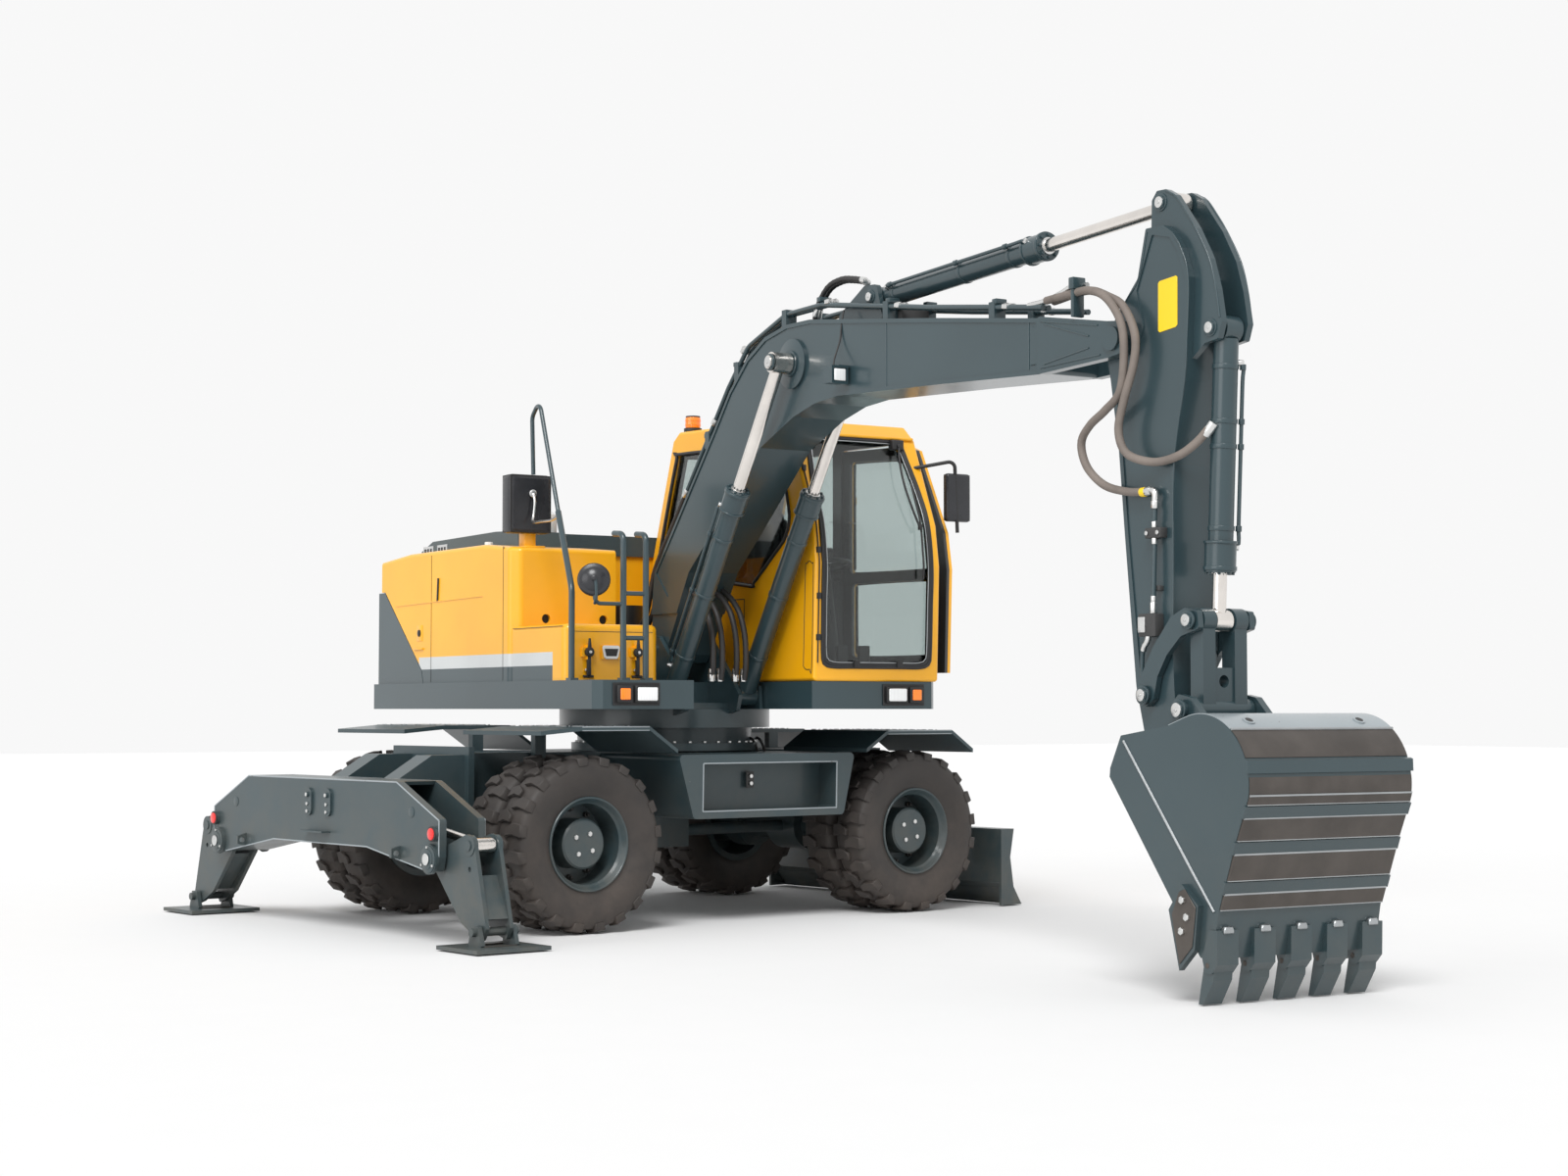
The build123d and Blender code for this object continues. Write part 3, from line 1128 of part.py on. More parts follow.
# Boom
boom_side = [
    (300, 1640),
    (275, 1760),
    (343, 2219),
    (755, 2680),
    (1104, 3071),
    (1296, 3298),
    (1508, 3481),
    (1716, 3585),
    (1960, 3630),
    (2226, 3627),
    (3548, 3459),
    (4500, 3330),
    (4500, 3045),
    (3546, 3096),
    (2527, 3142),
    (2286, 3125),
    (2047, 3068),
    (1667, 2916),
    (1126, 2466),
    (794, 2200),
    (470, 1680),
    (420, 1630),
]
boom_web = [
    (520, 2050),
    (365, 2211),
    (770, 2667),
    (1118, 3057),
    (1308, 3281),
    (1516, 3460),
    (1721, 3562),
    (1961, 3606),
    (2225, 3603),
    (3546, 3435),
    (4400, 3320),
    (4400, 3072),
    (3548, 3119),
    (2526, 3165),
    (2281, 3148),
    (2040, 3091),
    (1655, 2937),
    (1110, 2486),
    (745, 2190),
]
tip_side = [
    (4440, 3345),
    (arm_pivot[0] - 40, arm_pivot[1] + 92),
    (arm_pivot[0] + 60, arm_pivot[1] + 80),
    (arm_pivot[0] + 100, arm_pivot[1]),
    (arm_pivot[0] + 60, arm_pivot[1] - 80),
    (arm_pivot[0] - 40, arm_pivot[1] - 92),
    (4440, 3045),
]
cylinder_boss_outer = boom_cylinder_y - 60 - side_clearance
with BuildPart() as boom:
    slab(boom_side, boom_y - boom_half_width, boom_y + boom_half_width, corner=22)
    # The side plates lie a little inside the edges of the top and bottom plates
    web = outline(side_plane(boom_y + boom_half_width), boom_web)
    for way in (-1, 1):
        face_y = boom_y + way * boom_half_width
        # The outline drawn on the left plate is moved across to the plate that is cut
        web_on_plate = web.moved(Location((0, face_y - boom_y - boom_half_width, 0)))
        extrude(web_on_plate, amount=way * plate_recess, mode=Mode.SUBTRACT)
    # Narrower at the foot, between the brackets
    foot_zone = ((boom_foot[0] - 300, boom_cylinder_base[0] + 120), (deck_bottom_z, boom_foot[1] + boom_foot_narrow))
    for y_from, y_to in both_sides(boom_foot_half_width, boom_half_width + 10):
        block(foot_zone[0], (y_from, y_to), foot_zone[1], mode=Mode.SUBTRACT)
    cross_pin(boom_foot, 40 + pin_clearance, boom_y - 200, boom_y + 200, mode=Mode.SUBTRACT)
    for y_from, y_to in both_sides(arm_half_width + side_clearance, boom_half_width + 25):
        slab(tip_side, y_from, y_to, corner=20)
    for y_from, y_to in both_sides(arm_half_width + side_clearance + pin_head, boom_half_width + 25):
        cross_pin(arm_pivot, 60, y_from - pin_head, y_to + pin_head)
    cross_pin(arm_pivot, arm_pivot_radius, boom_y - 210, boom_y + 210)
    for y_from, y_to in both_sides(boom_half_width - 20, boom_half_width + 8):
        cross_pin(boom_cylinder_pin, 148, y_from, y_to)
    for y_from, y_to in both_sides(boom_half_width - 20, cylinder_boss_outer):
        cross_pin(boom_cylinder_pin, 80, y_from, y_to)
    # Ears for the arm cylinder's foot
    base_ear = [
        (arm_cylinder_base[0] - 390, 3600),
        (arm_cylinder_base[0] - 60, arm_cylinder_base[1] + 75),
        (arm_cylinder_base[0] + 60, arm_cylinder_base[1] + 65),
        (arm_cylinder_base[0] + 130, 3540),
    ]
    for y_from, y_to in both_sides(66, 96):
        slab(base_ear, y_from, y_to, corner=25)
    cross_pin(arm_cylinder_base, 32, boom_y - 110, boom_y + 110)
boom.part.label = "boom"
export_step(boom.part, "parts/boom.step")

# Pipes along the boom's top, held by clamps, and the work light on its right side
pipe_route = [
    (700, 2700),
    (1240, 3330),
    (1480, 3560),
    (1920, 3700),
    (2320, 3705),
    (3400, 3540),
    (4420, 3400),
]
with BuildPart() as boom_pipes:
    for offset in (-150, -110, 110, 150):
        tube([(x, boom_y + offset, z) for x, z in pipe_route], 15, 140)
    for x, z in ((1000, 3050), (1360, 3446), (1920, 3696), (3000, 3600), (4000, 3455)):
        for side in (-1, 1):
            with Locations((x, boom_y + side * 130, z - 25)):
                Box(50, 75, 110)
    # Work light on the right side: bracket, housing and bezel
    block((2570, 2650), (boom_y - boom_half_width - 70, boom_y - boom_half_width + 10), (3290, 3304))
    block((2560, 2650), (boom_y - boom_half_width - 120, boom_y - boom_half_width - 20), (3200, 3292))
    block((2645, 2662), (boom_y - boom_half_width - 126, boom_y - boom_half_width - 14), (3194, 3298))
    lens_y = (boom_y - boom_half_width - 114, boom_y - boom_half_width - 26)
    block((2655, 2670), lens_y, (3206, 3286), mode=Mode.SUBTRACT)
    add(boom.part, mode=Mode.SUBTRACT)
boom_pipes.part.label = "boom_pipes"
export_step(boom_pipes.part, "parts/boom_pipes.step")

def cylinder_barrel(base, eye, y, radius, gland, length, eye_width, pin_radius, rod_radius):
    """Barrel with its foot eye and gland, bored for the rod."""
    bar(side_point(along(base, eye, radius * 0.8), y), side_point(along(base, eye, length), y), radius)
    bar(side_point(along(base, eye, length - 150), y), side_point(along(base, eye, length), y), gland)
    cross_pin(base, radius + 4, y - eye_width / 2, y + eye_width / 2)
    cross_pin(base, pin_radius + pin_clearance, y - eye_width, y + eye_width, mode=Mode.SUBTRACT)
    bar(
        side_point(along(base, eye, radius + 60), y),
        side_point(along(base, eye, length + 5), y),
        rod_radius + pin_clearance,
        mode=Mode.SUBTRACT,
    )


def cylinder_rod(base, eye, y, rod_radius, inner_end, eye_width, rod_eye_radius):
    """Rod from inside the barrel to its eye, with its pin in the eye."""
    length = hypot(eye[0] - base[0], eye[1] - base[1])
    start = along(base, eye, inner_end)
    end = along(base, eye, length - rod_eye_radius * 0.6)
    bar(side_point(start, y), side_point(end, y), rod_radius)
    cross_pin(eye, rod_eye_radius, y - eye_width / 2, y + eye_width / 2)


with BuildPart() as boom_barrels:
    for side in (-1, 1):
        cylinder_barrel(
            boom_cylinder_base, boom_cylinder_pin, boom_y + side * boom_cylinder_y,
            boom_barrel_radius, boom_gland_radius, boom_barrel_length, 122, 35, boom_rod_radius,
        )
boom_barrels.part.label = "boom_barrels"
export_step(boom_barrels.part, "parts/boom_barrels.step")
with BuildPart() as boom_rods:
    for side in (-1, 1):
        y = boom_y + side * boom_cylinder_y
        cylinder_rod(boom_cylinder_base, boom_cylinder_pin, y, boom_rod_radius, boom_rod_start, 120, 62)
        cross_pin(boom_cylinder_pin, 40, y, y + side * 82)
boom_rods.part.label = "boom_rods"
export_step(boom_rods.part, "parts/boom_rods.step")

with BuildPart() as arm_barrel:
    cylinder_barrel(
        arm_cylinder_base, arm_cylinder_pin, boom_y,
        arm_barrel_radius, arm_gland_radius, arm_barrel_length, 120, 32, arm_rod_radius,
    )
arm_barrel.part.label = "arm_barrel"
export_step(arm_barrel.part, "parts/arm_barrel.step")
with BuildPart() as arm_rod:
    cylinder_rod(arm_cylinder_base, arm_cylinder_pin, boom_y, arm_rod_radius, arm_rod_start, 100, 58)
arm_rod.part.label = "arm_rod"
export_step(arm_rod.part, "parts/arm_rod.step")

# Arm: closed box with ears for both cylinders at its back
arm_box = [
    (5223, 3677),
    (5354, 3673),
    (5424, 3626),
    (5477, 3547),
    (5535, 3395),
    (5520, 3100),
    (5500, 2900),
    (5420, 2500),
    (5408, 2011),
    (5400, 1600),
    (bucket_pin[0] + 95, bucket_pin[1] + 120),
    (bucket_pin[0] + 60, bucket_pin[1] - 60),
    (bucket_pin[0] - 60, bucket_pin[1] - 70),
    (bucket_pin[0] - 100, bucket_pin[1] + 20),
    (5130, 1440),
    (5050, 2190),
    (5010, 2600),
    (4950, 2959),
    (4925, 3080),
    (4930, 3190),
    (5010, 3290),
    (5160, 3440),
]
arm_web = [
    (5398, 3608),
    (5453, 3536),
    (5508, 3390),
    (5494, 3102),
    (5474, 2903),
    (5395, 2503),
    (5383, 2011),
    (5375, 1605),
    (5330, 1500),
    (5160, 1500),
    (5076, 2193),
    (5036, 2603),
    (4990, 2900),
    (5130, 3000),
    (5200, 3200),
    (5150, 3380),
    (5270, 3640),
]
arm_ear = [
    (arm_cylinder_pin[0] - 68, arm_cylinder_pin[1] + 20),
    (arm_cylinder_pin[0] - 30, arm_cylinder_pin[1] + 62),
    (5330, 3858),
    (5400, 3818),
    (5548, 3632),
    (5642, 3471),
    (5691, 3318),
    (bucket_cylinder_base[0] + 78, bucket_cylinder_base[1] + 20),
    (bucket_cylinder_base[0] + 50, bucket_cylinder_base[1] - 58),
    (bucket_cylinder_base[0] - 40, bucket_cylinder_base[1] - 68),
    (5500, 3000),
    (5300, 3200),
    (5215, 3560),
]
with BuildPart() as arm:
    slab(arm_box, boom_y - arm_half_width, boom_y + arm_half_width, corner=12)
    for y_from, y_to in both_sides(arm_half_width - plate_recess, arm_half_width + 5):
        slab(arm_web, y_from, y_to, corner=8, mode=Mode.SUBTRACT)
    for y_from, y_to in both_sides(ear_inner_y, ear_half_width):
        slab(arm_ear, y_from, y_to, corner=14)
    for point in (arm_cylinder_pin, bucket_cylinder_base):
        for y_from, y_to in both_sides(ear_half_width - 10, ear_half_width + 14):
            cross_pin(point, 34, y_from, y_to)
    cross_pin(bucket_cylinder_base, 32, boom_y - ear_inner_y - 10, boom_y + ear_inner_y + 10)
    cross_pin(arm_pivot, arm_pivot_radius + pin_clearance, boom_y - 150, boom_y + 150, mode=Mode.SUBTRACT)
    cross_pin(bucket_pin, 45 + pin_clearance, boom_y - 150, boom_y + 150, mode=Mode.SUBTRACT)
    cross_pin(rocker_pin, 36, boom_y - rocker_y[1] - 30, boom_y + rocker_y[1] + 30)
arm.part.label = "arm"
export_step(arm.part, "parts/arm.step")

with BuildPart() as bucket_barrel:
    cylinder_barrel(
        bucket_cylinder_base, link_pin, boom_y,
        bucket_barrel_radius, bucket_gland_radius, bucket_barrel_length, 102, 32, bucket_rod_radius,
    )
bucket_barrel.part.label = "bucket_barrel"
export_step(bucket_barrel.part, "parts/bucket_barrel.step")
with BuildPart() as bucket_rod:
    cylinder_rod(bucket_cylinder_base, link_pin, boom_y, bucket_rod_radius, bucket_rod_start, 100, 52)
bucket_rod.part.label = "bucket_rod"
export_step(bucket_rod.part, "parts/bucket_rod.step")

# Rockers, one each side of the arm
rocker_outline = [
    (rocker_pin[0] - 55, rocker_pin[1] - 30),
    (rocker_pin[0] - 55, rocker_pin[1] + 60),
    (rocker_pin[0] + 60, link_pin[1] - 120),
    (rocker_pin[0] + 190, link_pin[1] + 20),
    (link_pin[0] - 40, link_pin[1] + 60),
    (link_pin[0] + 50, link_pin[1] + 45),
    (link_pin[0] + 60, link_pin[1] - 40),
    (link_pin[0] - 70, link_pin[1] - 75),
    (rocker_pin[0] + 160, link_pin[1] - 160),
    (rocker_pin[0] + 90, rocker_pin[1] + 90),
    (rocker_pin[0] + 60, rocker_pin[1] - 20),
    (rocker_pin[0], rocker_pin[1] - 58),
]
with BuildPart() as rockers:
    for y_from, y_to in both_sides(rocker_y[0], rocker_y[1]):
        slab(rocker_outline, y_from, y_to, corner=14)
        cross_pin(rocker_pin, 36 + pin_clearance, y_from - 5, y_to + 5, mode=Mode.SUBTRACT)
        cross_pin(link_pin, 34 + pin_clearance, y_from - 5, y_to + 5, mode=Mode.SUBTRACT)
rockers.part.label = "rockers"
export_step(rockers.part, "parts/rockers.step")

# Link from the rockers to the bucket
with BuildPart() as link:
    link_half_width = ear_y[0] - side_clearance
    cross_pin(bucket_link_pin, link_boss_radius, boom_y - link_half_width, boom_y + link_half_width)
    for y_from, y_to in both_sides(60, rocker_y[1] + 30):
        cross_pin(link_pin, 34, y_from, y_to)
    for y_from, y_to in both_sides(60, 138):
        cross_pin(link_pin, 60, y_from, y_to)
        block((link_pin[0] - 45, link_pin[0] + 45), (y_from, y_to), (bucket_link_pin[1], link_pin[1]))
    block(
        (link_pin[0] - 35, link_pin[0] + 35),
        (boom_y - 100, boom_y + 100),
        (bucket_link_pin[1], bucket_link_pin[1] + 200),
    )
    long_pin((boom_y, bucket_link_pin[1] + 135), 30, link_pin[0] - 40, link_pin[0] + 40, mode=Mode.SUBTRACT)
link.part.label = "link"
export_step(link.part, "parts/link.step")

# Bucket: curved shell between side plates, ears, lip and teeth
bucket_plate = [
    (5444, 1206),
    (5365, 1053),
    (5360, 1011),
    (5990, 215),
    (6072, 215),
    (6110, 422),
    (6232, 753),
    (6311, 940),
]
# Lower and upper edge of each wear strip on the bucket's back
bucket_strips = [
    ((6134, 510), (6154, 565)),
    ((6200, 690), (6220, 745)),
    ((6268, 852), (6290, 905)),
    ((6305, 1052), (6303, 1108)),
]
bucket_heel_end = (5900, 1292)
bucket_heel_middle = (6229, 1208)
bucket_top = (5775, 1253)
bucket_room = [
    (5360, 1180),
    (5200, 1053),
    (5960, 150),
    (6046, 215),
    (6086, 430),
    (6208, 760),
    (6286, 948),
]
room_heel_end = (5906, 1266)
room_heel_middle = (6211, 1189)
room_top = (5780, 1228)
room_front = (5450, 1182)


def bucket_outline(straight, heel_middle, heel_end, rest):
    """Side outline of the bucket: straight front and floor, and an arc round the heel."""
    with BuildSketch(side_plane(boom_y + bucket_half_width)) as face:
        with BuildLine():
            Polyline(*straight)
            ThreePointArc(straight[-1], heel_middle, heel_end)
            Polyline(heel_end, *rest, straight[0])
        make_face()
    return face.sketch


bucket_ear = [
    (bucket_pin[0] - 95, bucket_pin[1] + 10),
    (bucket_pin[0] - 60, bucket_pin[1] + 78),
    (bucket_link_pin[0] - 80, bucket_link_pin[1] + 30),
    (bucket_link_pin[0] - 30, bucket_link_pin[1] + 74),
    (bucket_link_pin[0] + 50, bucket_link_pin[1] + 60),
    (bucket_link_pin[0] + 150, bucket_link_pin[1] - 40),
    (5900, 1285),
    (5775, 1240),
    (5444, 1190),
    (5400, 1000),
    (bucket_pin[0] + 40, bucket_pin[1] - 88),
    (bucket_pin[0] - 60, bucket_pin[1] - 75),
]
with BuildPart() as bucket:
    bucket_shape = bucket_outline(bucket_plate, bucket_heel_middle, bucket_heel_end, [bucket_top])
    extrude(bucket_shape, amount=2 * bucket_half_width)
    room = bucket_outline(bucket_room, room_heel_middle, room_heel_end, [room_top, room_front])
    extrude(
        room.moved(Location((0, -bucket_wall, 0))),
        amount=2 * (bucket_half_width - bucket_wall),
        mode=Mode.SUBTRACT,
    )
    # Wear strips round the heel and under the floor
    for low, high in bucket_strips:
        strip = [
            low,
            (low[0] + strip_depth * 0.9, low[1] - strip_depth * 0.35),
            (high[0] + strip_depth * 0.9, high[1] - strip_depth * 0.35),
            high,
        ]
        slab(strip, boom_y - bucket_half_width - 8, boom_y + bucket_half_width + 8)
    # The top plate is cut back between the ears, where the arm's end comes in
    notch_y = (boom_y - ear_y[0], boom_y + ear_y[0])
    block((bucket_pin[0], arm_notch_x), notch_y, (bucket_pin[1], bucket_link_pin[1]), mode=Mode.SUBTRACT)
    for y_from, y_to in both_sides(ear_y[0], ear_y[1]):
        slab(bucket_ear, y_from, y_to, corner=16)
    cross_pin(bucket_pin, 45, boom_y - ear_y[1] - 30, boom_y + ear_y[1] + 30)
    for y_from, y_to in both_sides(ear_y[0], ear_y[1] + 40):
        cross_pin(bucket_link_pin, 40, y_from, y_to)
    adapter = [(6058, 345), (6112, 345), (6108, 190), (6072, 150), (6030, 150), (6010, 215)]
    tooth = [(6052, 330), (6095, 330), (6075, 120), (6005, tooth_clearance), (5975, tooth_clearance), (6020, 215)]
    pitch = (2 * bucket_half_width - tooth_width) / (tooth_count - 1)
    for index in range(tooth_count):
        y = boom_y - bucket_half_width + tooth_width / 2 + index * pitch
        slab(tooth, y - tooth_width / 2, y + tooth_width / 2)
        slab(adapter, y - tooth_width / 2 - 9, y + tooth_width / 2 + 9)
    cutter = [(5900, 540), (6010, 450), (5985, 250), (5880, 150), (5810, 420)]
    for y_from, y_to in both_sides(bucket_half_width, bucket_half_width + 30):
        slab(cutter, y_from, y_to)
bucket.part.label = "bucket"
export_step(bucket.part, "parts/bucket.step")
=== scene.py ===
import bpy
import math
from mathutils import Matrix, Vector


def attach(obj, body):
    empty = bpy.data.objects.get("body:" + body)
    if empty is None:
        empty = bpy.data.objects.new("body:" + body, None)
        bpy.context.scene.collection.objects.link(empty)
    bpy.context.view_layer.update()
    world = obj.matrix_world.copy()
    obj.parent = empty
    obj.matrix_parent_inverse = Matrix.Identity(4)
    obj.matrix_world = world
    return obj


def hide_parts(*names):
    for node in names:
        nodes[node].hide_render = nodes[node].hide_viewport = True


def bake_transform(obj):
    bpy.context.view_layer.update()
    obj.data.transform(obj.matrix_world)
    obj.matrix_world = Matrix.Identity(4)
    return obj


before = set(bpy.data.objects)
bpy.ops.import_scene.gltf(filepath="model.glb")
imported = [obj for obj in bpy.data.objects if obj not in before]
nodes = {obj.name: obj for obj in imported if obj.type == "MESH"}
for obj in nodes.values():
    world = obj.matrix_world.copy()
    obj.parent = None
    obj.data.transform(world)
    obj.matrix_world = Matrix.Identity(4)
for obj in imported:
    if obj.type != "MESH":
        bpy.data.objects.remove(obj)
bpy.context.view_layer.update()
print("frame loaded:", len(nodes), "nodes")

# Place of the undercarriage, drawn straight and turned under the upper part
slew = {"turn": 97.2, "offset": 0.145}
underTurn = Matrix.Rotation(math.radians(slew["turn"]), 4, "Z") @ Matrix.Translation((-slew["offset"], 0, 0))
boomMiddle = -0.09


# Helpers for modelling

def deselectAll():
    if bpy.context.object and bpy.context.object.mode != "OBJECT":
        bpy.ops.object.mode_set(mode="OBJECT")
    bpy.ops.object.select_all(action="DESELECT")


def pickOnly(piece):
    deselectAll()
    piece.select_set(True)
    bpy.context.view_layer.objects.active = piece


def applyPlace(piece):
    pickOnly(piece)
    bpy.ops.object.transform_apply(location=True, rotation=True, scale=True)


def bevelAll(piece, width, steps=2):
    pickOnly(piece)
    bpy.ops.object.mode_set(mode="EDIT")
    bpy.ops.mesh.select_all(action="SELECT")
    bpy.ops.mesh.bevel(offset=width, segments=steps, affect="EDGES")
    bpy.ops.object.mode_set(mode="OBJECT")


def addBlock(low, high, edge=0.004, steps=2):
    deselectAll()
    middle = [(a + b) / 2 for a, b in zip(low, high)]
    size = [b - a for a, b in zip(low, high)]
    bpy.ops.mesh.primitive_cube_add(size=1, location=middle, scale=size)
    piece = bpy.context.object
    applyPlace(piece)
    if edge:
        bevelAll(piece, edge, steps)
    return piece


def addRod(start, end, radius, corners=24, edge=0.0, radiusEnd=None):
    deselectAll()
    start, end = Vector(start), Vector(end)
    line = end - start
    turn = line.to_track_quat("Z", "Y").to_euler()
    place = {"location": (start + end) / 2, "rotation": turn, "depth": line.length, "vertices": corners}
    if radiusEnd is None:
        bpy.ops.mesh.primitive_cylinder_add(radius=radius, **place)
    else:
        bpy.ops.mesh.primitive_cone_add(radius1=radius, radius2=radiusEnd, **place)
    piece = bpy.context.object
    applyPlace(piece)
    if edge:
        bevelRims(piece, edge)
    return piece


def bevelRims(piece, edge, steps=2):
    # only the sharp edges round the ends, not the facets along the bar
    pickOnly(piece)
    bpy.ops.object.mode_set(mode="EDIT")
    bpy.ops.mesh.select_all(action="DESELECT")
    bpy.ops.mesh.edges_select_sharp(sharpness=math.radians(50))
    bpy.ops.mesh.bevel(offset=edge, segments=steps, affect="EDGES")
    bpy.ops.object.mode_set(mode="OBJECT")


def addPlate(outline, normal, near, far, edge=0.002):
    # a filled circle with one corner for each point of the outline, moved to it and extruded
    axis = {"X": 0, "Y": 1, "Z": 2}[normal]
    others = [i for i in range(3) if i != axis]
    deselectAll()
    bpy.ops.mesh.primitive_circle_add(vertices=len(outline), fill_type="NGON")
    piece = bpy.context.object
    for vertex, point in zip(piece.data.vertices, outline):
        place = [0.0, 0.0, 0.0]
        place[others[0]], place[others[1]], place[axis] = point[0], point[1], near
        vertex.co = place
    move = [0.0, 0.0, 0.0]
    move[axis] = far - near
    bpy.ops.object.mode_set(mode="EDIT")
    bpy.ops.mesh.select_all(action="SELECT")
    bpy.ops.mesh.extrude_region_move(TRANSFORM_OT_translate={"value": move})
    bpy.ops.mesh.select_all(action="SELECT")
    bpy.ops.mesh.normals_make_consistent(inside=False)
    bpy.ops.object.mode_set(mode="OBJECT")
    if edge:
        bevelAll(piece, edge, 1)
    return piece


def smoothRoute(points, step):
    # evenly spaced points on a smooth line through the given ones
    spots = [Vector(p) for p in points]
    spots = [2 * spots[0] - spots[1]] + spots + [2 * spots[-1] - spots[-2]]
    fine = []
    for i in range(1, len(spots) - 2):
        a, b, c, d = spots[i - 1:i + 3]
        for j in range(24):
            t = j / 24
            fine.append(0.5 * (2 * b + (c - a) * t + (2 * a - 5 * b + 4 * c - d) * t * t
                               + (3 * b - a - 3 * c + d) * t ** 3))
    fine.append(spots[-2])
    route, left = [fine[0]], step
    for a, b in zip(fine, fine[1:]):
        reach = (b - a).length
        while reach >= left and reach > 0:
            a = a + (b - a) * (left / reach)
            route.append(a.copy())
            reach = (b - a).length
            left = step
        left -= reach
    if (route[-1] - fine[-1]).length > step * 0.3:
        route.append(fine[-1])
    return route


def addHose(points, radius, step=0.02, rib=0.0):
    # a path curve given its points and its round section; ribs are rings of a larger radius
    route = smoothRoute(points, step)
    deselectAll()
    bpy.ops.curve.primitive_nurbs_path_add()
    piece = bpy.context.object
    spline = piece.data.splines[0]
    spline.type = "POLY"
    spline.points.add(len(route) - len(spline.points)) if len(route) > len(spline.points) else None
    for i, point in enumerate(spline.points):
        spot = route[min(i, len(route) - 1)]
        point.co = (*spot, 1)
        point.radius = 1 + (rib if i % 2 else 0)
    piece.data.bevel_depth = radius
    piece.data.bevel_resolution = 4
    piece.data.use_fill_caps = True
    pickOnly(piece)
    bpy.ops.object.convert(target="MESH")
    piece = bpy.context.object
    applyPlace(piece)
    return piece


def copyPiece(piece, move=None):
    pickOnly(piece)
    bpy.ops.object.duplicate()
    made = bpy.context.object
    if move is not None:
        made.matrix_world = move @ made.matrix_world
        applyPlace(made)
    return made


def joinPieces(pieces):
    deselectAll()
    for piece in pieces:
        piece.select_set(True)
    bpy.context.view_layer.objects.active = pieces[0]
    if len(pieces) > 1:
        bpy.ops.object.join()
    return bpy.context.object


def finishPiece(pieces, name, look, body, smooth=35, where=None):
    # joins and names a piece, gives it its finish and slot, and lets it ride on a body
    piece = joinPieces(pieces if isinstance(pieces, list) else [pieces])
    if where is not None:
        piece.matrix_world = where @ piece.matrix_world
    applyPlace(piece)
    bpy.ops.object.shade_smooth_by_angle(angle=math.radians(smooth))
    piece.name = name
    piece.data.name = name
    piece.data.materials.clear()
    piece.data.materials.append(finish[look])
    if body is not None:
        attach(piece, body)
    return piece


# Node groups that several finishes share

def newGroup(name, inputs, outputs):
    group = bpy.data.node_groups.new(name, "ShaderNodeTree")
    for label, kind, value in inputs:
        socket = group.interface.new_socket(label, in_out="INPUT", socket_type=kind)
        if value is not None:
            socket.default_value = value
    for label, kind in outputs:
        group.interface.new_socket(label, in_out="OUTPUT", socket_type=kind)
    return group, group.nodes.new("NodeGroupInput"), group.nodes.new("NodeGroupOutput")


def addNode(tree, kind, inputs=None, **settings):
    made = tree.nodes.new(kind)
    for key, value in settings.items():
        setattr(made, key, value)
    for key, value in (inputs or {}).items():
        if isinstance(value, bpy.types.NodeSocket):
            tree.links.new(value, made.inputs[key])
        else:
            made.inputs[key].default_value = value
    return made


def mathNode(tree, operation, a, b=0.5, clamp=False):
    return addNode(tree, "ShaderNodeMath", {0: a, 1: b}, operation=operation, use_clamp=clamp).outputs[0]


def mixColour(tree, share, a, b, kind="MIX"):
    made = tree.nodes.new("ShaderNodeMix")
    made.data_type = "RGBA"
    made.blend_type = kind
    for socket, value in ((made.inputs[0], share), (made.inputs[6], a), (made.inputs[7], b)):
        if isinstance(value, bpy.types.NodeSocket):
            tree.links.new(value, socket)
        else:
            socket.default_value = value
    return made.outputs[2]


# Small paint chips, slight tone changes and orange peel
paintSkin, skinIn, skinOut = newGroup(
    "paintSkin",
    [("Vector", "NodeSocketVector", None), ("Peel", "NodeSocketFloat", 60.0),
     ("Chips", "NodeSocketFloat", 0.3)],
    [("Chip", "NodeSocketFloat"), ("Tone", "NodeSocketFloat"), ("Height", "NodeSocketFloat")],
)
peel = addNode(paintSkin, "ShaderNodeTexNoise",
               {"Vector": skinIn.outputs["Vector"], "Scale": skinIn.outputs["Peel"],
                                                  "Detail": 2.0})
broad = addNode(paintSkin, "ShaderNodeTexNoise",
                {"Vector": skinIn.outputs["Vector"], "Scale": 1.7, "Detail": 4.0})
specks = addNode(paintSkin, "ShaderNodeTexNoise",
                 {"Vector": skinIn.outputs["Vector"], "Scale": 38.0, "Detail": 5.0})
chipLine = mathNode(paintSkin, "MULTIPLY_ADD", skinIn.outputs["Chips"], -0.25)
paintSkin.nodes[-1].inputs[2].default_value = 0.84
chipShare = mathNode(paintSkin, "SUBTRACT", specks.outputs["Fac"], chipLine)
chipShare = mathNode(paintSkin, "MULTIPLY", chipShare, 30.0, True)
tone = mathNode(paintSkin, "MULTIPLY", broad.outputs["Fac"], 1.0)
paintSkin.links.new(chipShare, skinOut.inputs["Chip"])
paintSkin.links.new(tone, skinOut.inputs["Tone"])
paintSkin.links.new(peel.outputs["Fac"], skinOut.inputs["Height"])

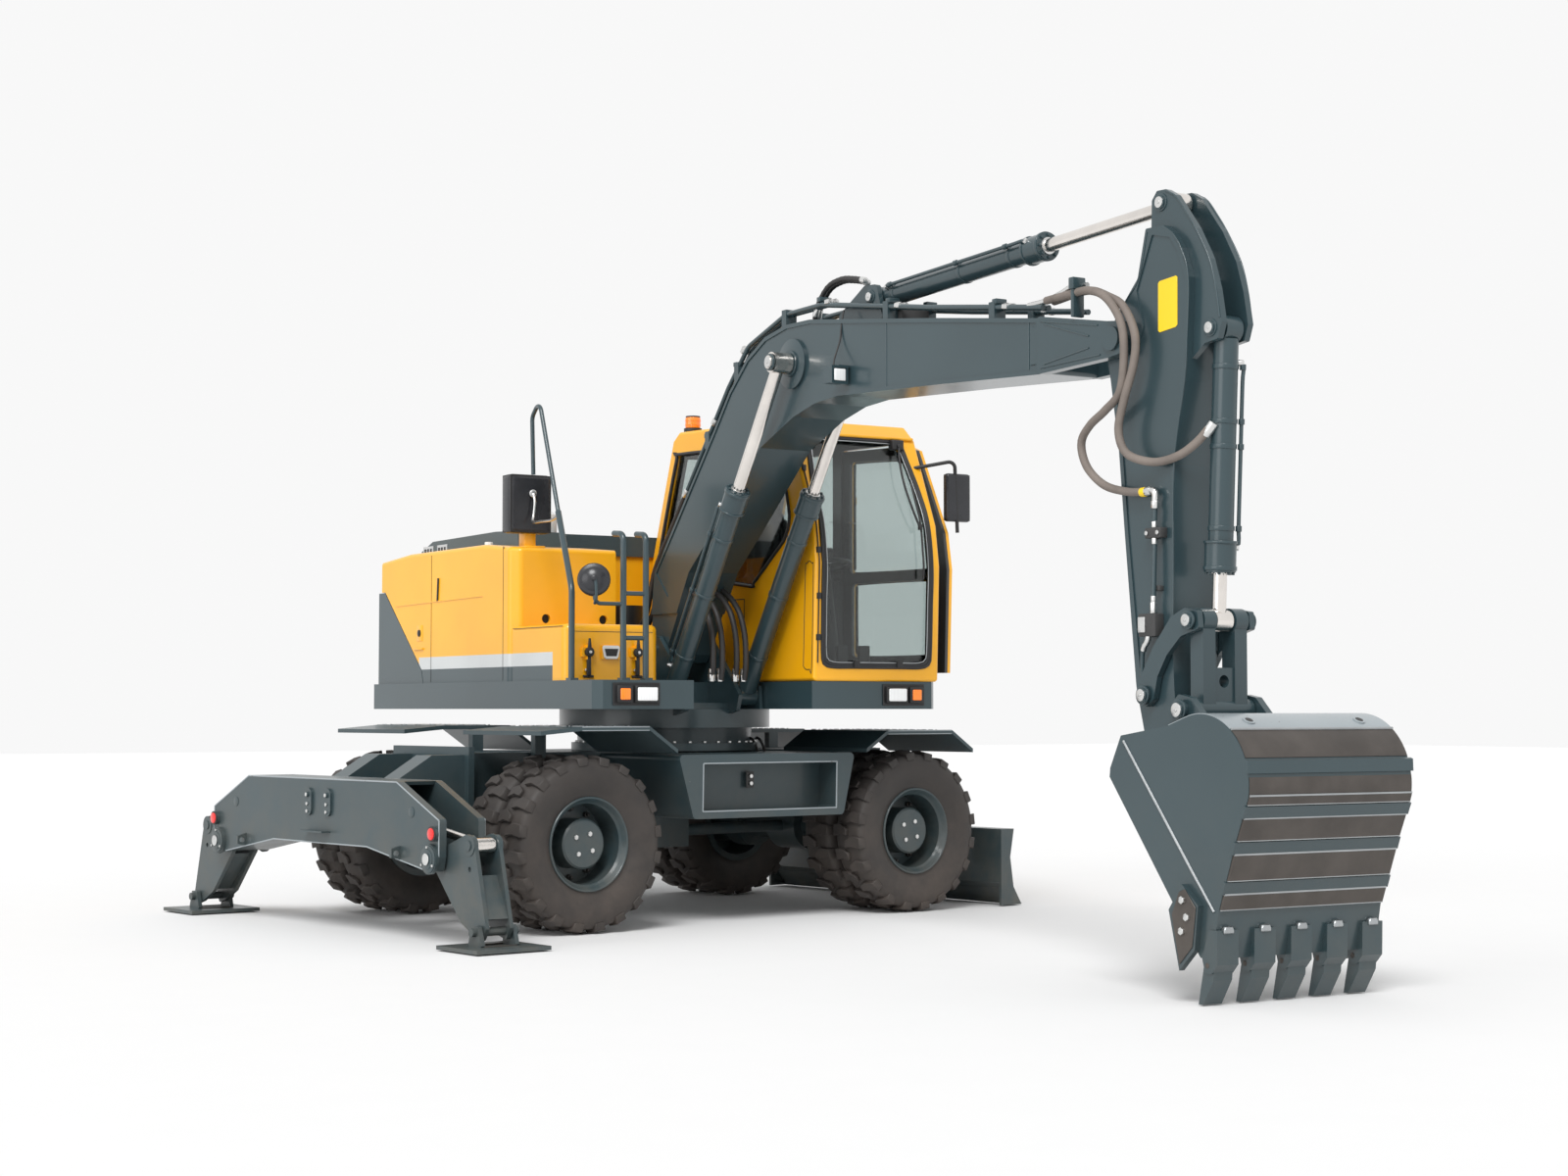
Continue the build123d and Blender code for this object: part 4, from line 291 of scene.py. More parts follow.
# Dust that lies thicker towards the ground
roadDust, dustIn, dustOut = newGroup(
    "roadDust",
    [("Vector", "NodeSocketVector", None), ("Low", "NodeSocketFloat", 0.0), ("High", "NodeSocketFloat", 1.2),
     ("Amount", "NodeSocketFloat", 0.5)],
    [("Dust", "NodeSocketFloat")],
)
dustSplit = addNode(roadDust, "ShaderNodeSeparateXYZ", {0: dustIn.outputs["Vector"]})
dustFall = addNode(roadDust, "ShaderNodeMapRange", {
    "Value": dustSplit.outputs["Z"], "From Min": dustIn.outputs["High"], "From Max": dustIn.outputs["Low"]})
dustNoise = addNode(roadDust, "ShaderNodeTexNoise",
                    {"Vector": dustIn.outputs["Vector"], "Scale": 5.0, "Detail": 8.0,
                                                      "Roughness": 0.65})
dustPatch = addNode(roadDust, "ShaderNodeMapRange", {"Value": dustNoise.outputs["Fac"], "From Min": 0.35,
                                                      "From Max": 0.75, "To Min": 0.15})
dustShare = mathNode(roadDust, "MULTIPLY", dustFall.outputs[0], dustPatch.outputs[0])
dustShare = mathNode(roadDust, "MULTIPLY", dustShare, dustIn.outputs["Amount"], True)
roadDust.links.new(dustShare, dustOut.inputs["Dust"])

# Moulded grain, for plastic, rubber and cast iron
mouldGrain, grainIn, grainOut = newGroup(
    "mouldGrain",
    [("Vector", "NodeSocketVector", None), ("Scale", "NodeSocketFloat", 200.0)],
    [("Height", "NodeSocketFloat"), ("Tone", "NodeSocketFloat")],
)
grainFine = addNode(mouldGrain, "ShaderNodeTexNoise", {"Vector": grainIn.outputs["Vector"],
                                                        "Scale": grainIn.outputs["Scale"], "Detail": 3.0})
grainBroad = addNode(mouldGrain, "ShaderNodeTexNoise",
                     {"Vector": grainIn.outputs["Vector"], "Scale": 6.0, "Detail": 5.0})
mouldGrain.links.new(grainFine.outputs["Fac"], grainOut.inputs["Height"])
mouldGrain.links.new(grainBroad.outputs["Fac"], grainOut.inputs["Tone"])

# A painted band between two heights, and between two places along the machine
paintBand, bandIn, bandOut = newGroup(
    "paintBand",
    [("Vector", "NodeSocketVector", None), ("Low", "NodeSocketFloat", 0.0), ("High", "NodeSocketFloat", 1.0),
     ("Rear", "NodeSocketFloat", -9.0), ("Front", "NodeSocketFloat", 9.0)],
    [("Mask", "NodeSocketFloat")],
)
bandSplit = addNode(paintBand, "ShaderNodeSeparateXYZ", {0: bandIn.outputs["Vector"]})
bandMask = None
for axis, operation, limit in (("Z", "GREATER_THAN", "Low"), ("Z", "LESS_THAN", "High"),
                               ("X", "GREATER_THAN", "Rear"), ("X", "LESS_THAN", "Front")):
    step = mathNode(paintBand, operation, bandSplit.outputs[axis], bandIn.outputs[limit])
    bandMask = step if bandMask is None else mathNode(paintBand, "MULTIPLY", bandMask, step)
paintBand.links.new(bandMask, bandOut.inputs["Mask"])


def newInsideMask(name, planes):
    # 1 where a point lies behind every plane (x, y and z share, limit), so on a hollow part's inner surfaces
    group, groupIn, groupOut = newGroup(name, [("Vector", "NodeSocketVector", None)],
                                        [("Mask", "NodeSocketFloat")])
    mask = None
    for direction, limit in planes:
        along = addNode(group, "ShaderNodeVectorMath", {0: groupIn.outputs["Vector"], 1: direction},
                        operation="DOT_PRODUCT")
        behind = mathNode(group, "LESS_THAN", along.outputs["Value"], limit)
        mask = behind if mask is None else mathNode(group, "MULTIPLY", mask, behind)
    group.links.new(mask, groupOut.inputs["Mask"])
    return group


# The cab's and the door's inner surfaces are made near black: the dark trim's colour deepened into painted shade
# inside the cab.
cabTrimAndShade = newInsideMask("cabTrimAndShade", [
    ((0, 1, 0), 1.2195), ((0, -1, 0), -0.3155), ((0, 0, -1), -1.534), ((0.0325, 0, 1), 3.196),
    ((1, 0, -0.0336), 1.3214), ((1, 0, 0.145), 1.7232), ((1, 0, 0.426), 2.4291), ((1, 0, 1.22), 4.8746),
    ((-1, 0, -0.016), 0.6504), ((-1, 0, 0.362), 1.538)])
doorTurn = math.radians(9)
doorTrimAndShade = newInsideMask("doorTrimAndShade", [
    ((-math.sin(doorTurn), math.cos(doorTurn), 0),
     1.220 - 1.268 - 0.318 * math.sin(doorTurn) + 1.268 * math.cos(doorTurn))])
print("node groups made")


# Finishes

def newMaterial(name):
    material = bpy.data.materials.new(name)
    material.use_nodes = True
    tree = material.node_tree
    shader = tree.nodes["Principled BSDF"]
    spot = addNode(tree, "ShaderNodeTexCoord").outputs["Object"]
    return material, tree, shader, spot


def placeGroup(tree, group, inputs):
    made = addNode(tree, "ShaderNodeGroup", node_tree=group)
    for key, value in inputs.items():
        if isinstance(value, bpy.types.NodeSocket):
            tree.links.new(value, made.inputs[key])
        else:
            made.inputs[key].default_value = value
    return made


def addBump(tree, shader, height, strength, distance=0.001):
    bump = addNode(tree, "ShaderNodeBump", {"Height": height, "Strength": strength, "Distance": distance})
    tree.links.new(bump.outputs["Normal"], shader.inputs["Normal"])


dustColour = (0.17, 0.14, 0.105, 1)
steelUnder = (0.16, 0.16, 0.155, 1)
# near black for the inner surfaces of the cab and door: painted shade over their dark trim
trimAndShadeColour = (0.022, 0.023, 0.024, 1)
yellowColour = (0.93, 0.44, 0.004, 1)
darkColour = (0.028, 0.053, 0.062, 1)
stripeColour = (0.60, 0.62, 0.62, 1)


def makePaint(name, look):
    material, tree, shader, spot = newMaterial(name)
    skin = placeGroup(tree, paintSkin,
                      {"Vector": spot, "Peel": look.get("peel", 70.0), "Chips": look.get("chips", 0.2)})
    dust = placeGroup(tree, roadDust, {"Vector": spot, "Low": 0.0, "High": look.get("dustTop", 1.3),
                                       "Amount": look.get("dust", 0.3)})
    colour = look["colour"]
    for band in look.get("bands", []):
        mask = placeGroup(tree, paintBand, {"Vector": spot, **band["where"]})
        colour = mixColour(tree, mask.outputs["Mask"], colour, band["colour"])
    # inner surfaces go near black: painted shade inside the cab, over the dark trim
    if "trimAndShade" in look:
        colour = mixColour(tree, placeGroup(tree, look["trimAndShade"], {"Vector": spot}).outputs["Mask"], colour,
                           trimAndShadeColour)
    tone = addNode(tree, "ShaderNodeMapRange",
                   {"Value": skin.outputs["Tone"], "From Min": 0.3, "From Max": 0.7,
                                                 "To Min": 0.94, "To Max": 1.06})
    shade = addNode(tree, "ShaderNodeHueSaturation", {"Value": tone.outputs[0], "Color": colour})
    colour = mixColour(tree, skin.outputs["Chip"], shade.outputs[0], steelUnder)
    colour = mixColour(tree, dust.outputs["Dust"], colour, dustColour)
    tree.links.new(colour, shader.inputs["Base Color"])
    rough = addNode(tree, "ShaderNodeMapRange",
                    {"Value": dust.outputs["Dust"], "To Min": look["roughness"], "To Max": 0.85})
    tree.links.new(rough.outputs[0], shader.inputs["Roughness"])
    shader.inputs["Coat Weight"].default_value = look.get("coat", 0.3)
    shader.inputs["Coat Roughness"].default_value = 0.12
    addBump(tree, shader, skin.outputs["Height"], look.get("bump", 0.12), 0.0006)
    return material


def makeMoulded(name, look):
    material, tree, shader, spot = newMaterial(name)
    grain = placeGroup(tree, mouldGrain, {"Vector": spot, "Scale": look.get("grain", 260.0)})
    dust = placeGroup(tree, roadDust, {"Vector": spot, "Low": 0.0, "High": look.get("dustTop", 1.2),
                                       "Amount": look.get("dust", 0.2)})
    tone = addNode(tree, "ShaderNodeMapRange",
                   {"Value": grain.outputs["Tone"], "From Min": 0.3, "From Max": 0.7,
                                                 "To Min": 0.8, "To Max": 1.2})
    shade = addNode(tree, "ShaderNodeHueSaturation", {"Value": tone.outputs[0], "Color": look["colour"]})
    colour = mixColour(tree, dust.outputs["Dust"], shade.outputs[0], look.get("dustColour", dustColour))
    tree.links.new(colour, shader.inputs["Base Color"])
    rough = addNode(tree, "ShaderNodeMapRange",
                    {"Value": grain.outputs["Tone"], "To Min": look["roughness"] - 0.08,
                                                  "To Max": look["roughness"] + 0.1})
    tree.links.new(rough.outputs[0], shader.inputs["Roughness"])
    shader.inputs["Metallic"].default_value = look.get("metallic", 0.0)
    addBump(tree, shader, grain.outputs["Height"], look.get("bump", 0.25), look.get("depth", 0.0008))
    return material


def makeMetal(name, look):
    # turned or plated metal, with fine lines across its roughness
    material, tree, shader, spot = newMaterial(name)
    grain = placeGroup(tree, mouldGrain, {"Vector": spot, "Scale": look.get("grain", 90.0)})
    tone = addNode(tree, "ShaderNodeMapRange",
                   {"Value": grain.outputs["Tone"], "From Min": 0.3, "From Max": 0.7,
                                                 "To Min": 0.9, "To Max": 1.08})
    shade = addNode(tree, "ShaderNodeHueSaturation", {"Value": tone.outputs[0], "Color": look["colour"]})
    tree.links.new(shade.outputs[0], shader.inputs["Base Color"])
    rough = addNode(tree, "ShaderNodeMapRange",
                    {"Value": grain.outputs["Height"], "To Min": look["roughness"] - 0.04,
                                                  "To Max": look["roughness"] + 0.1})
    tree.links.new(rough.outputs[0], shader.inputs["Roughness"])
    shader.inputs["Metallic"].default_value = 1.0
    addBump(tree, shader, grain.outputs["Height"], 0.05, 0.0004)
    return material


def makeLens(name, look):
    # moulded lens with fine upright flutes, and a faint glow of its own colour that is painted light
    material, tree, shader, spot = newMaterial(name)
    flutes = addNode(tree, "ShaderNodeTexWave",
                     {"Vector": spot, "Scale": look.get("flutes", 30.0), "Distortion": 0.3},
                     bands_direction="Y")
    shader.inputs["Base Color"].default_value = look["colour"]
    tone = mixColour(tree, flutes.outputs["Fac"], look["colour"],
                     [c * 0.82 for c in look["colour"][:3]] + [1])
    tree.links.new(tone, shader.inputs["Base Color"])
    shader.inputs["Roughness"].default_value = 0.12
    shader.inputs["Coat Weight"].default_value = 0.6
    shader.inputs["Emission Color"].default_value = look["colour"]
    shader.inputs["Emission Strength"].default_value = look.get("glow", 0.12)
    addBump(tree, shader, flutes.outputs["Fac"], 0.35, 0.001)
    return material


def makeGlass(name, look):
    material, tree, shader, spot = newMaterial(name)
    haze = placeGroup(tree, mouldGrain, {"Vector": spot, "Scale": 14.0})
    rough = addNode(tree, "ShaderNodeMapRange",
                    {"Value": haze.outputs["Tone"], "To Min": 0.0, "To Max": 0.06})
    tree.links.new(rough.outputs[0], shader.inputs["Roughness"])
    shader.inputs["Base Color"].default_value = look["colour"]
    shader.inputs["Transmission Weight"].default_value = 1.0
    shader.inputs["IOR"].default_value = 1.45
    return material


paints = {
    "yellowPaint": {"colour": yellowColour, "roughness": 0.34, "coat": 0.35, "chips": 0.05, "dust": 0.1},
    "cabPaint": {"colour": yellowColour, "roughness": 0.34, "coat": 0.35, "chips": 0.05, "dust": 0.1,
                 "trimAndShade": cabTrimAndShade},
    "doorPaint": {"colour": yellowColour, "roughness": 0.34, "coat": 0.35, "chips": 0.05, "dust": 0.1,
                  "trimAndShade": doorTrimAndShade},
    "hoodPaint": {"colour": yellowColour, "roughness": 0.34, "coat": 0.35, "chips": 0.05, "dust": 0.1,
                  "bands": [
        {"colour": darkColour, "where": {"Low": 0.0, "High": 1.6, "Front": 0.73}},
        {"colour": stripeColour, "where": {"Low": 1.6, "High": 1.683, "Front": 0.73, "Rear": -1.31}}]},
    "darkPaint": {"colour": darkColour, "roughness": 0.3, "coat": 0.3, "chips": 0.1, "dust": 0.2,
                  "dustTop": 1.1},
    "chassisPaint": {"colour": darkColour, "roughness": 0.38, "coat": 0.2, "chips": 0.25, "dust": 0.55,
                     "dustTop": 1.2},
    "blackPaint": {"colour": (0.014, 0.015, 0.016, 1), "roughness": 0.42, "coat": 0.1, "chips": 0.15,
                   "dust": 0.3},
    "topPaint": {"colour": (0.05, 0.075, 0.085, 1), "roughness": 0.42, "coat": 0.1, "chips": 0.1,
                 "dust": 0.2},
    "whitePaint": {"colour": (0.78, 0.79, 0.78, 1), "roughness": 0.35, "coat": 0.2, "chips": 0.0,
                   "dust": 0.1},
    "greyPaint": {"colour": (0.30, 0.34, 0.36, 1), "roughness": 0.34, "coat": 0.2, "chips": 0.6, "dust": 0.1},
    "signPaint": {"colour": (0.95, 0.62, 0.005, 1), "roughness": 0.4, "coat": 0.2, "chips": 0.0,
                  "dust": 0.05},
}
moulded = {
    "tyreRubber": {"colour": (0.033, 0.029, 0.027, 1), "roughness": 0.62, "grain": 150.0, "bump": 0.3,
                   "dust": 0.8,
                   "dustTop": 1.15, "dustColour": (0.10, 0.078, 0.064, 1)},
    "blackPlastic": {"colour": (0.016, 0.016, 0.017, 1), "roughness": 0.5, "bump": 0.3},
    "mirrorShell": {"colour": (0.022, 0.023, 0.027, 1), "roughness": 0.26, "bump": 0.08},
    "seatCloth": {"colour": (0.02, 0.02, 0.023, 1), "roughness": 0.88, "grain": 500.0, "bump": 0.5},
    "hoseRubber": {"colour": (0.020, 0.019, 0.019, 1), "roughness": 0.5, "grain": 320.0, "bump": 0.2},
    "hoseSleeve": {"colour": (0.19, 0.16, 0.14, 1), "roughness": 0.7, "grain": 420.0, "bump": 0.5},
    "ironBlock": {"colour": (0.07, 0.07, 0.07, 1), "roughness": 0.65, "metallic": 0.4, "grain": 90.0,
                  "bump": 0.4},
    "wornSteel": {"colour": (0.085, 0.075, 0.068, 1), "roughness": 0.5, "metallic": 0.5, "grain": 60.0,
                  "bump": 0.25},
}
metals = {
    "rodChrome": {"colour": (0.78, 0.74, 0.70, 1), "roughness": 0.16},
    "brightSteel": {"colour": (0.70, 0.70, 0.69, 1), "roughness": 0.26},
    "mirrorSilver": {"colour": (0.86, 0.88, 0.9, 1), "roughness": 0.05},
    "wornEdge": {"colour": (0.42, 0.44, 0.45, 1), "roughness": 0.34},
}
lenses = {
    "amberLens": {"colour": (1.0, 0.24, 0.01, 1), "glow": 0.25},
    "redLens": {"colour": (0.8, 0.01, 0.008, 1), "glow": 0.15},
    "clearLens": {"colour": (0.85, 0.86, 0.86, 1), "glow": 0.2},
}
finish = {}
for name, look in paints.items():
    finish[name] = makePaint(name, look)
for name, look in moulded.items():
    finish[name] = makeMoulded(name, look)
for name, look in metals.items():
    finish[name] = makeMetal(name, look)
for name, look in lenses.items():
    finish[name] = makeLens(name, look)
finish["cabGlass"] = makeGlass("cabGlass", {"colour": (0.62, 0.68, 0.67, 1)})
print("finishes made:", len(finish))

# Which finish each node of the frame takes
nodeFinish = {
    "chassis_frame": "chassisPaint", "axles": "chassisPaint", "toolboxes": "chassisPaint",
    "steps": "chassisPaint",
    "stabiliser_beam": "chassisPaint", "blade": "chassisPaint", "blade_barrels": "blackPaint",
    "blade_rods": "rodChrome",
    "upper_frame": "darkPaint", "counterweight": "darkPaint", "hood": "hoodPaint", "hood_top": "topPaint",
    "engine_block": "ironBlock", "storage_box": "hoodPaint", "cab": "cabPaint", "cab_glass": "cabGlass",
    "seat": "seatCloth", "console": "blackPlastic", "handrails": "darkPaint", "mirrors": "blackPlastic",
    "lamps": "blackPlastic", "hydraulics": "blackPaint", "cab_door": "doorPaint", "door_glass": "cabGlass",
    "boom": "darkPaint", "boom_pipes": "darkPaint", "boom_barrels": "darkPaint", "boom_rods": "rodChrome",
    "arm_barrel": "darkPaint", "arm_rod": "rodChrome", "arm": "darkPaint", "bucket_barrel": "darkPaint",
    "bucket_rod": "rodChrome", "rockers": "darkPaint", "link": "darkPaint", "bucket": "darkPaint",
}
for name, node in nodes.items():
    wanted = nodeFinish.get(name)
    if wanted is None and name.startswith(("rims_", "knuckle_", "stabiliser_")):
        wanted = "rodChrome" if name.startswith("stabiliser_rod") else "chassisPaint"
    if wanted is None and name.startswith("tyres_"):
        wanted = "tyreRubber"
    if wanted is None:
        raise SystemExit("no finish for node " + name)
    if not node.data.materials:
        node.data.materials.append(finish[wanted])
    for i in range(len(node.data.materials)):
        node.data.materials[i] = finish[wanted]
print("nodes painted")


# Tyres: one modelled by spinning its section, with raised lugs, then copied to eight places

tyre = {
    "centreOut": (0.792, 1.112), "axle": 0.53, "steps": 96, "lugs": 20, "root": 0.503, "top": 0.528,
    "section": [(-0.097, 0.2825), (-0.099, 0.298), (-0.108, 0.318), (-0.124, 0.352), (-0.1355, 0.395),
                (-0.137, 0.43),
                (-0.133, 0.455), (-0.124, 0.480), (-0.110, 0.497), (-0.085, 0.503), (0.0, 0.506)],
    "lug": [(-0.128, 0.0), (-0.128, 0.075), (-0.055, 0.085), (0.010, 0.050), (0.010, 0.005), (-0.050, 0.015)],
    "wheels": {"steered_right": (-1.3, -1), "steered_left": (-1.3, 1), "fixed_right": (1.3, -1),
               "fixed_left": (1.3, 1)},
}


def buildTyre():
    # whole section made by mirroring the half one, set on the corners of a circle, and spun about the axle along
    # Y
    section = tyre["section"] + [(-w, r) for w, r in reversed(tyre["section"][:-1])]
    deselectAll()
    bpy.ops.mesh.primitive_circle_add(vertices=len(section), fill_type="NOTHING")
    carcass = bpy.context.object
    for vertex, (w, r) in zip(carcass.data.vertices, section):
        vertex.co = (0, w, r)
    bpy.ops.object.mode_set(mode="EDIT")
    bpy.ops.mesh.select_all(action="SELECT")
    bpy.ops.mesh.spin(steps=tyre["steps"], angle=2 * math.pi, center=(0, 0, 0), axis=(0, 1, 0))
    bpy.ops.mesh.select_all(action="SELECT")
    bpy.ops.mesh.remove_doubles(threshold=0.0005)
    bpy.ops.mesh.normals_make_consistent(inside=False)
    bpy.ops.object.mode_set(mode="OBJECT")
    pieces = [carcass]
    # one lug as a bevelled block on the crown, bent to the tyre's curve by moving its corners
    pitch = 2 * math.pi / tyre["lugs"]
    for side in (-1, 1):
        lug = addPlate([(a[0] * -side, a[1]) for a in tyre["lug"]], "Z", 0.0, 1.0, 0)
        for vertex in lug.data.vertices:
            width, arc, high = vertex.co
            outer = tyre["top"] - 0.35 * max(0.0, abs(width) - 0.095)
            inner = tyre["root"] - 0.012 - 0.75 * max(0.0, abs(width) - 0.095)
            radius = outer if high > 0.5 else inner
            angle = arc / 0.52 + (pitch / 2 if side > 0 else 0)
            spread = 1.0 if high > 0.5 else 1.10
            vertex.co = (radius * math.sin(angle),
                         width * (1 if high > 0.5 else min(spread, 0.134 / abs(width))
                                                            if abs(width) > 0.1 else 1), radius * math.cos(angle))
        pickOnly(lug)
        bpy.ops.object.mode_set(mode="EDIT")
        bpy.ops.mesh.select_all(action="SELECT")
        bpy.ops.mesh.normals_make_consistent(inside=False)
        bpy.ops.mesh.bevel(offset=0.004, segments=1, affect="EDGES")
        bpy.ops.object.mode_set(mode="OBJECT")
        pieces.append(lug)
        for i in range(1, tyre["lugs"]):
            pieces.append(copyPiece(lug, Matrix.Rotation(i * pitch, 4, "Y")))
    return joinPieces(pieces)


oneTyre = buildTyre()
for name, (along, side) in tyre["wheels"].items():
    pair = []
    for out in tyre["centreOut"]:
        place = Matrix.Translation((along, side * out, tyre["axle"]))
        # the V of the tread points the same way on both sides of the machine
        place = place @ Matrix.Rotation(math.radians(4 + 13 * side + 30 * out), 4, "Y")
        pair.append(copyPiece(oneTyre, place))
    made = finishPiece(pair, "treads_" + name, "tyreRubber", "wheel_" + name, 40, underTurn)
    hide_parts("tyres_" + name)
pickOnly(oneTyre)
bpy.ops.object.delete()
print("tyres done")

# Hub plugs and wheel studs

hub = {"face": 1.160, "ring": 0.095, "plugs": 4, "plugRadius": 0.016, "studRing": 0.205, "studs": 10,
       "disc": 0.995}
for name, (along, side) in tyre["wheels"].items():
    plugs, studs = [], []
    for i in range(hub["plugs"]):
        angle = math.radians(35 + 90 * i)
        x, z = along + hub["ring"] * math.sin(angle) * 0.75, tyre["axle"] + hub["ring"] * math.cos(angle) * 0.75
        plugs.append(addRod((x, side * (hub["face"] - 0.004), z), (x, side * (hub["face"] + 0.008), z),
                            hub["plugRadius"], 6, 0.002))
    for i in range(hub["studs"]):
        angle = 2 * math.pi * i / hub["studs"]
        x, z = along + hub["studRing"] * math.sin(angle), tyre["axle"] + hub["studRing"] * math.cos(angle)
        studs.append(addRod((x, side * (hub["disc"] - 0.004), z), (x, side * (hub["disc"] + 0.024), z), 0.019,
                            6, 0.003))
        studs.append(addRod((x, side * (hub["disc"] + 0.018), z), (x, side * (hub["disc"] + 0.044), z), 0.011,
                            12, 0.002))
    finishPiece(plugs, "plugs_" + name, "brightSteel", "wheel_" + name, 35, underTurn)
    finishPiece(studs, "studs_" + name, "blackPaint", "wheel_" + name, 35, underTurn)
print("wheel trim done")

# Hood: seams, body line, slit handle, lock and vents, all standing a hair off the panels
hood = {
    "side": -1.200, "seams": (-1.109, 0.02), "low": 1.512, "high": 2.375, "line": (-1.72, -0.28, 2.050),
    "slit": (-1.000, 2.060, 2.215), "lock": (-1.300, 1.850), "ledge": (-1.385, -1.235, 1.742),
    "vents": ((-0.547, 1.910), (-0.962, 1.910)), "front": 0.160,
}
seams = []
for side in (-1, 1):
    for x in hood["seams"]:
        seams.append(addBlock((x - 0.002, side * 1.1985 - 0.003, hood["low"]),
                              (x + 0.002, side * 1.1985 + 0.003, hood["high"]), 0))
    for x in (-2.0, -1.55):
        seams.append(addBlock((x - 0.002, side * 1.1985 - 0.003, 1.40),
                              (x + 0.002, side * 1.1985 + 0.003, 1.50), 0))
# The black rod in the slit handle is painted shade in its recessed slot.
seams.append(addRod((hood["slit"][0], hood["side"] - 0.004, hood["slit"][1]),
                    (hood["slit"][0] + 0.012, hood["side"] - 0.004, hood["slit"][2]), 0.0075, 12))
finishPiece(seams, "hood_seams_and_slot_shade", "blackPlastic", "upper")
ledges = []
for side in (-1, 1):
    rear, front, height = hood["line"]
    ledge = addPlate([(rear, height - 0.004), (rear + 0.05, height + 0.005), (front - 0.05, height + 0.023),
                      (front, height + 0.014)],
                     "Y", side * 1.198, side * 1.2055, 0.0015)
    ledges.append(ledge)
rear, front, height = hood["ledge"]
ledges.append(addBlock((rear, hood["side"] - 0.012, height - 0.006),
                       (front, hood["side"] + 0.002, height + 0.006), 0.003))
x, z = hood["lock"]
ledges.append(addBlock((x - 0.045, hood["side"] - 0.004, z - 0.055),
                       (x + 0.045, hood["side"] + 0.002, z + 0.055), 0.003))
finishPiece(ledges, "hood_ledges", "hoodPaint", "upper")
lock = [addRod((x, hood["side"] - 0.010, z), (x, hood["side"] + 0.002, z), 0.024, 24, 0.002),
        addBlock((x - 0.004, hood["side"] - 0.012, z - 0.014), (x + 0.004, hood["side"] - 0.009, z + 0.014),
                 0.001)]
finishPiece(lock, "hood_lock", "blackPlastic", "upper")
# Mesh inside the round front vents
vents = []
for y, z in hood["vents"]:
    vents.append(addRod((hood["front"] - 0.030, y, z), (hood["front"] - 0.024, y, z), 0.034, 24))
    for i in range(-2, 3):
        vents.append(addBlock((hood["front"] - 0.024, y - 0.026, z + i * 0.011 - 0.002),
                              (hood["front"] - 0.016, y + 0.026, z + i * 0.011 + 0.002), 0))
finishPiece(vents, "hood_vents", "blackPlastic", "upper")
print("hood trim done")

# Storage box: rubber latches, pale handle frame and its lid's seam
box = {"face": 0.900, "latches": (-0.710, -1.050), "height": 1.680, "handle": -0.890, "top": 1.855}
latch, keeper = [], []
for y in box["latches"]:
    z = box["height"]
    latch.append(addRod((box["face"] + 0.020, y, z), (box["face"] + 0.048, y, z), 0.030, 28, 0.006))
    latch.append(addPlate([(y - 0.013, z + 0.02), (y - 0.006, z + 0.085), (y + 0.006, z + 0.085),
                           (y + 0.013, z + 0.02)], "X",
                          box["face"] + 0.030, box["face"] + 0.044, 0.003))
    latch.append(addBlock((box["face"] + 0.016, y - 0.013, z - 0.145),
                          (box["face"] + 0.036, y + 0.013, z - 0.02), 0.005))
    latch.append(addRod((box["face"] + 0.020, y - 0.035, z - 0.150),
                        (box["face"] + 0.020, y + 0.035, z - 0.150), 0.009, 14, 0.002))
    keeper.append(addBlock((box["face"] - 0.002, y - 0.020, z - 0.118),
                           (box["face"] + 0.020, y + 0.020, z - 0.102), 0.003))
    keeper.append(addRod((box["face"] + 0.046, y, z), (box["face"] + 0.052, y, z), 0.010, 12, 0.001))
finishPiece(latch, "box_latches", "blackPlastic", "upper")
finishPiece(keeper, "box_keepers", "brightSteel", "upper")
y, z = box["handle"], box["height"]
grip = addPlate([(y - 0.062, z + 0.030), (y - 0.052, z + 0.042), (y + 0.052, z + 0.042),
                 (y + 0.062, z + 0.030),
                 (y + 0.050, z - 0.030), (y + 0.038, z - 0.042), (y - 0.038, z - 0.042),
                 (y - 0.050, z - 0.030)],
                "X", box["face"] + 0.012, box["face"] + 0.021, 0.003)
finishPiece(grip, "box_grip", "whitePaint", "upper")
# A black plate in the grip's hollow: painted shade in the handle's recess.
hollowShade = addPlate([(y - 0.048, z + 0.022), (y + 0.048, z + 0.022), (y + 0.036, z - 0.024),
                   (y - 0.036, z - 0.024)], "X",
                  box["face"] + 0.018, box["face"] + 0.0225, 0.001)
finishPiece(hollowShade, "box_hollow_shade", "blackPlastic", "upper")
lid = [addBlock((0.170, -1.2025, 1.838), (0.868, -1.199, 1.842), 0),
       addBlock((0.8985, -1.150, 1.806), (0.9018, -0.590, 1.809), 0)]
finishPiece(lid, "box_seams", "blackPlastic", "upper")
print("storage box done")

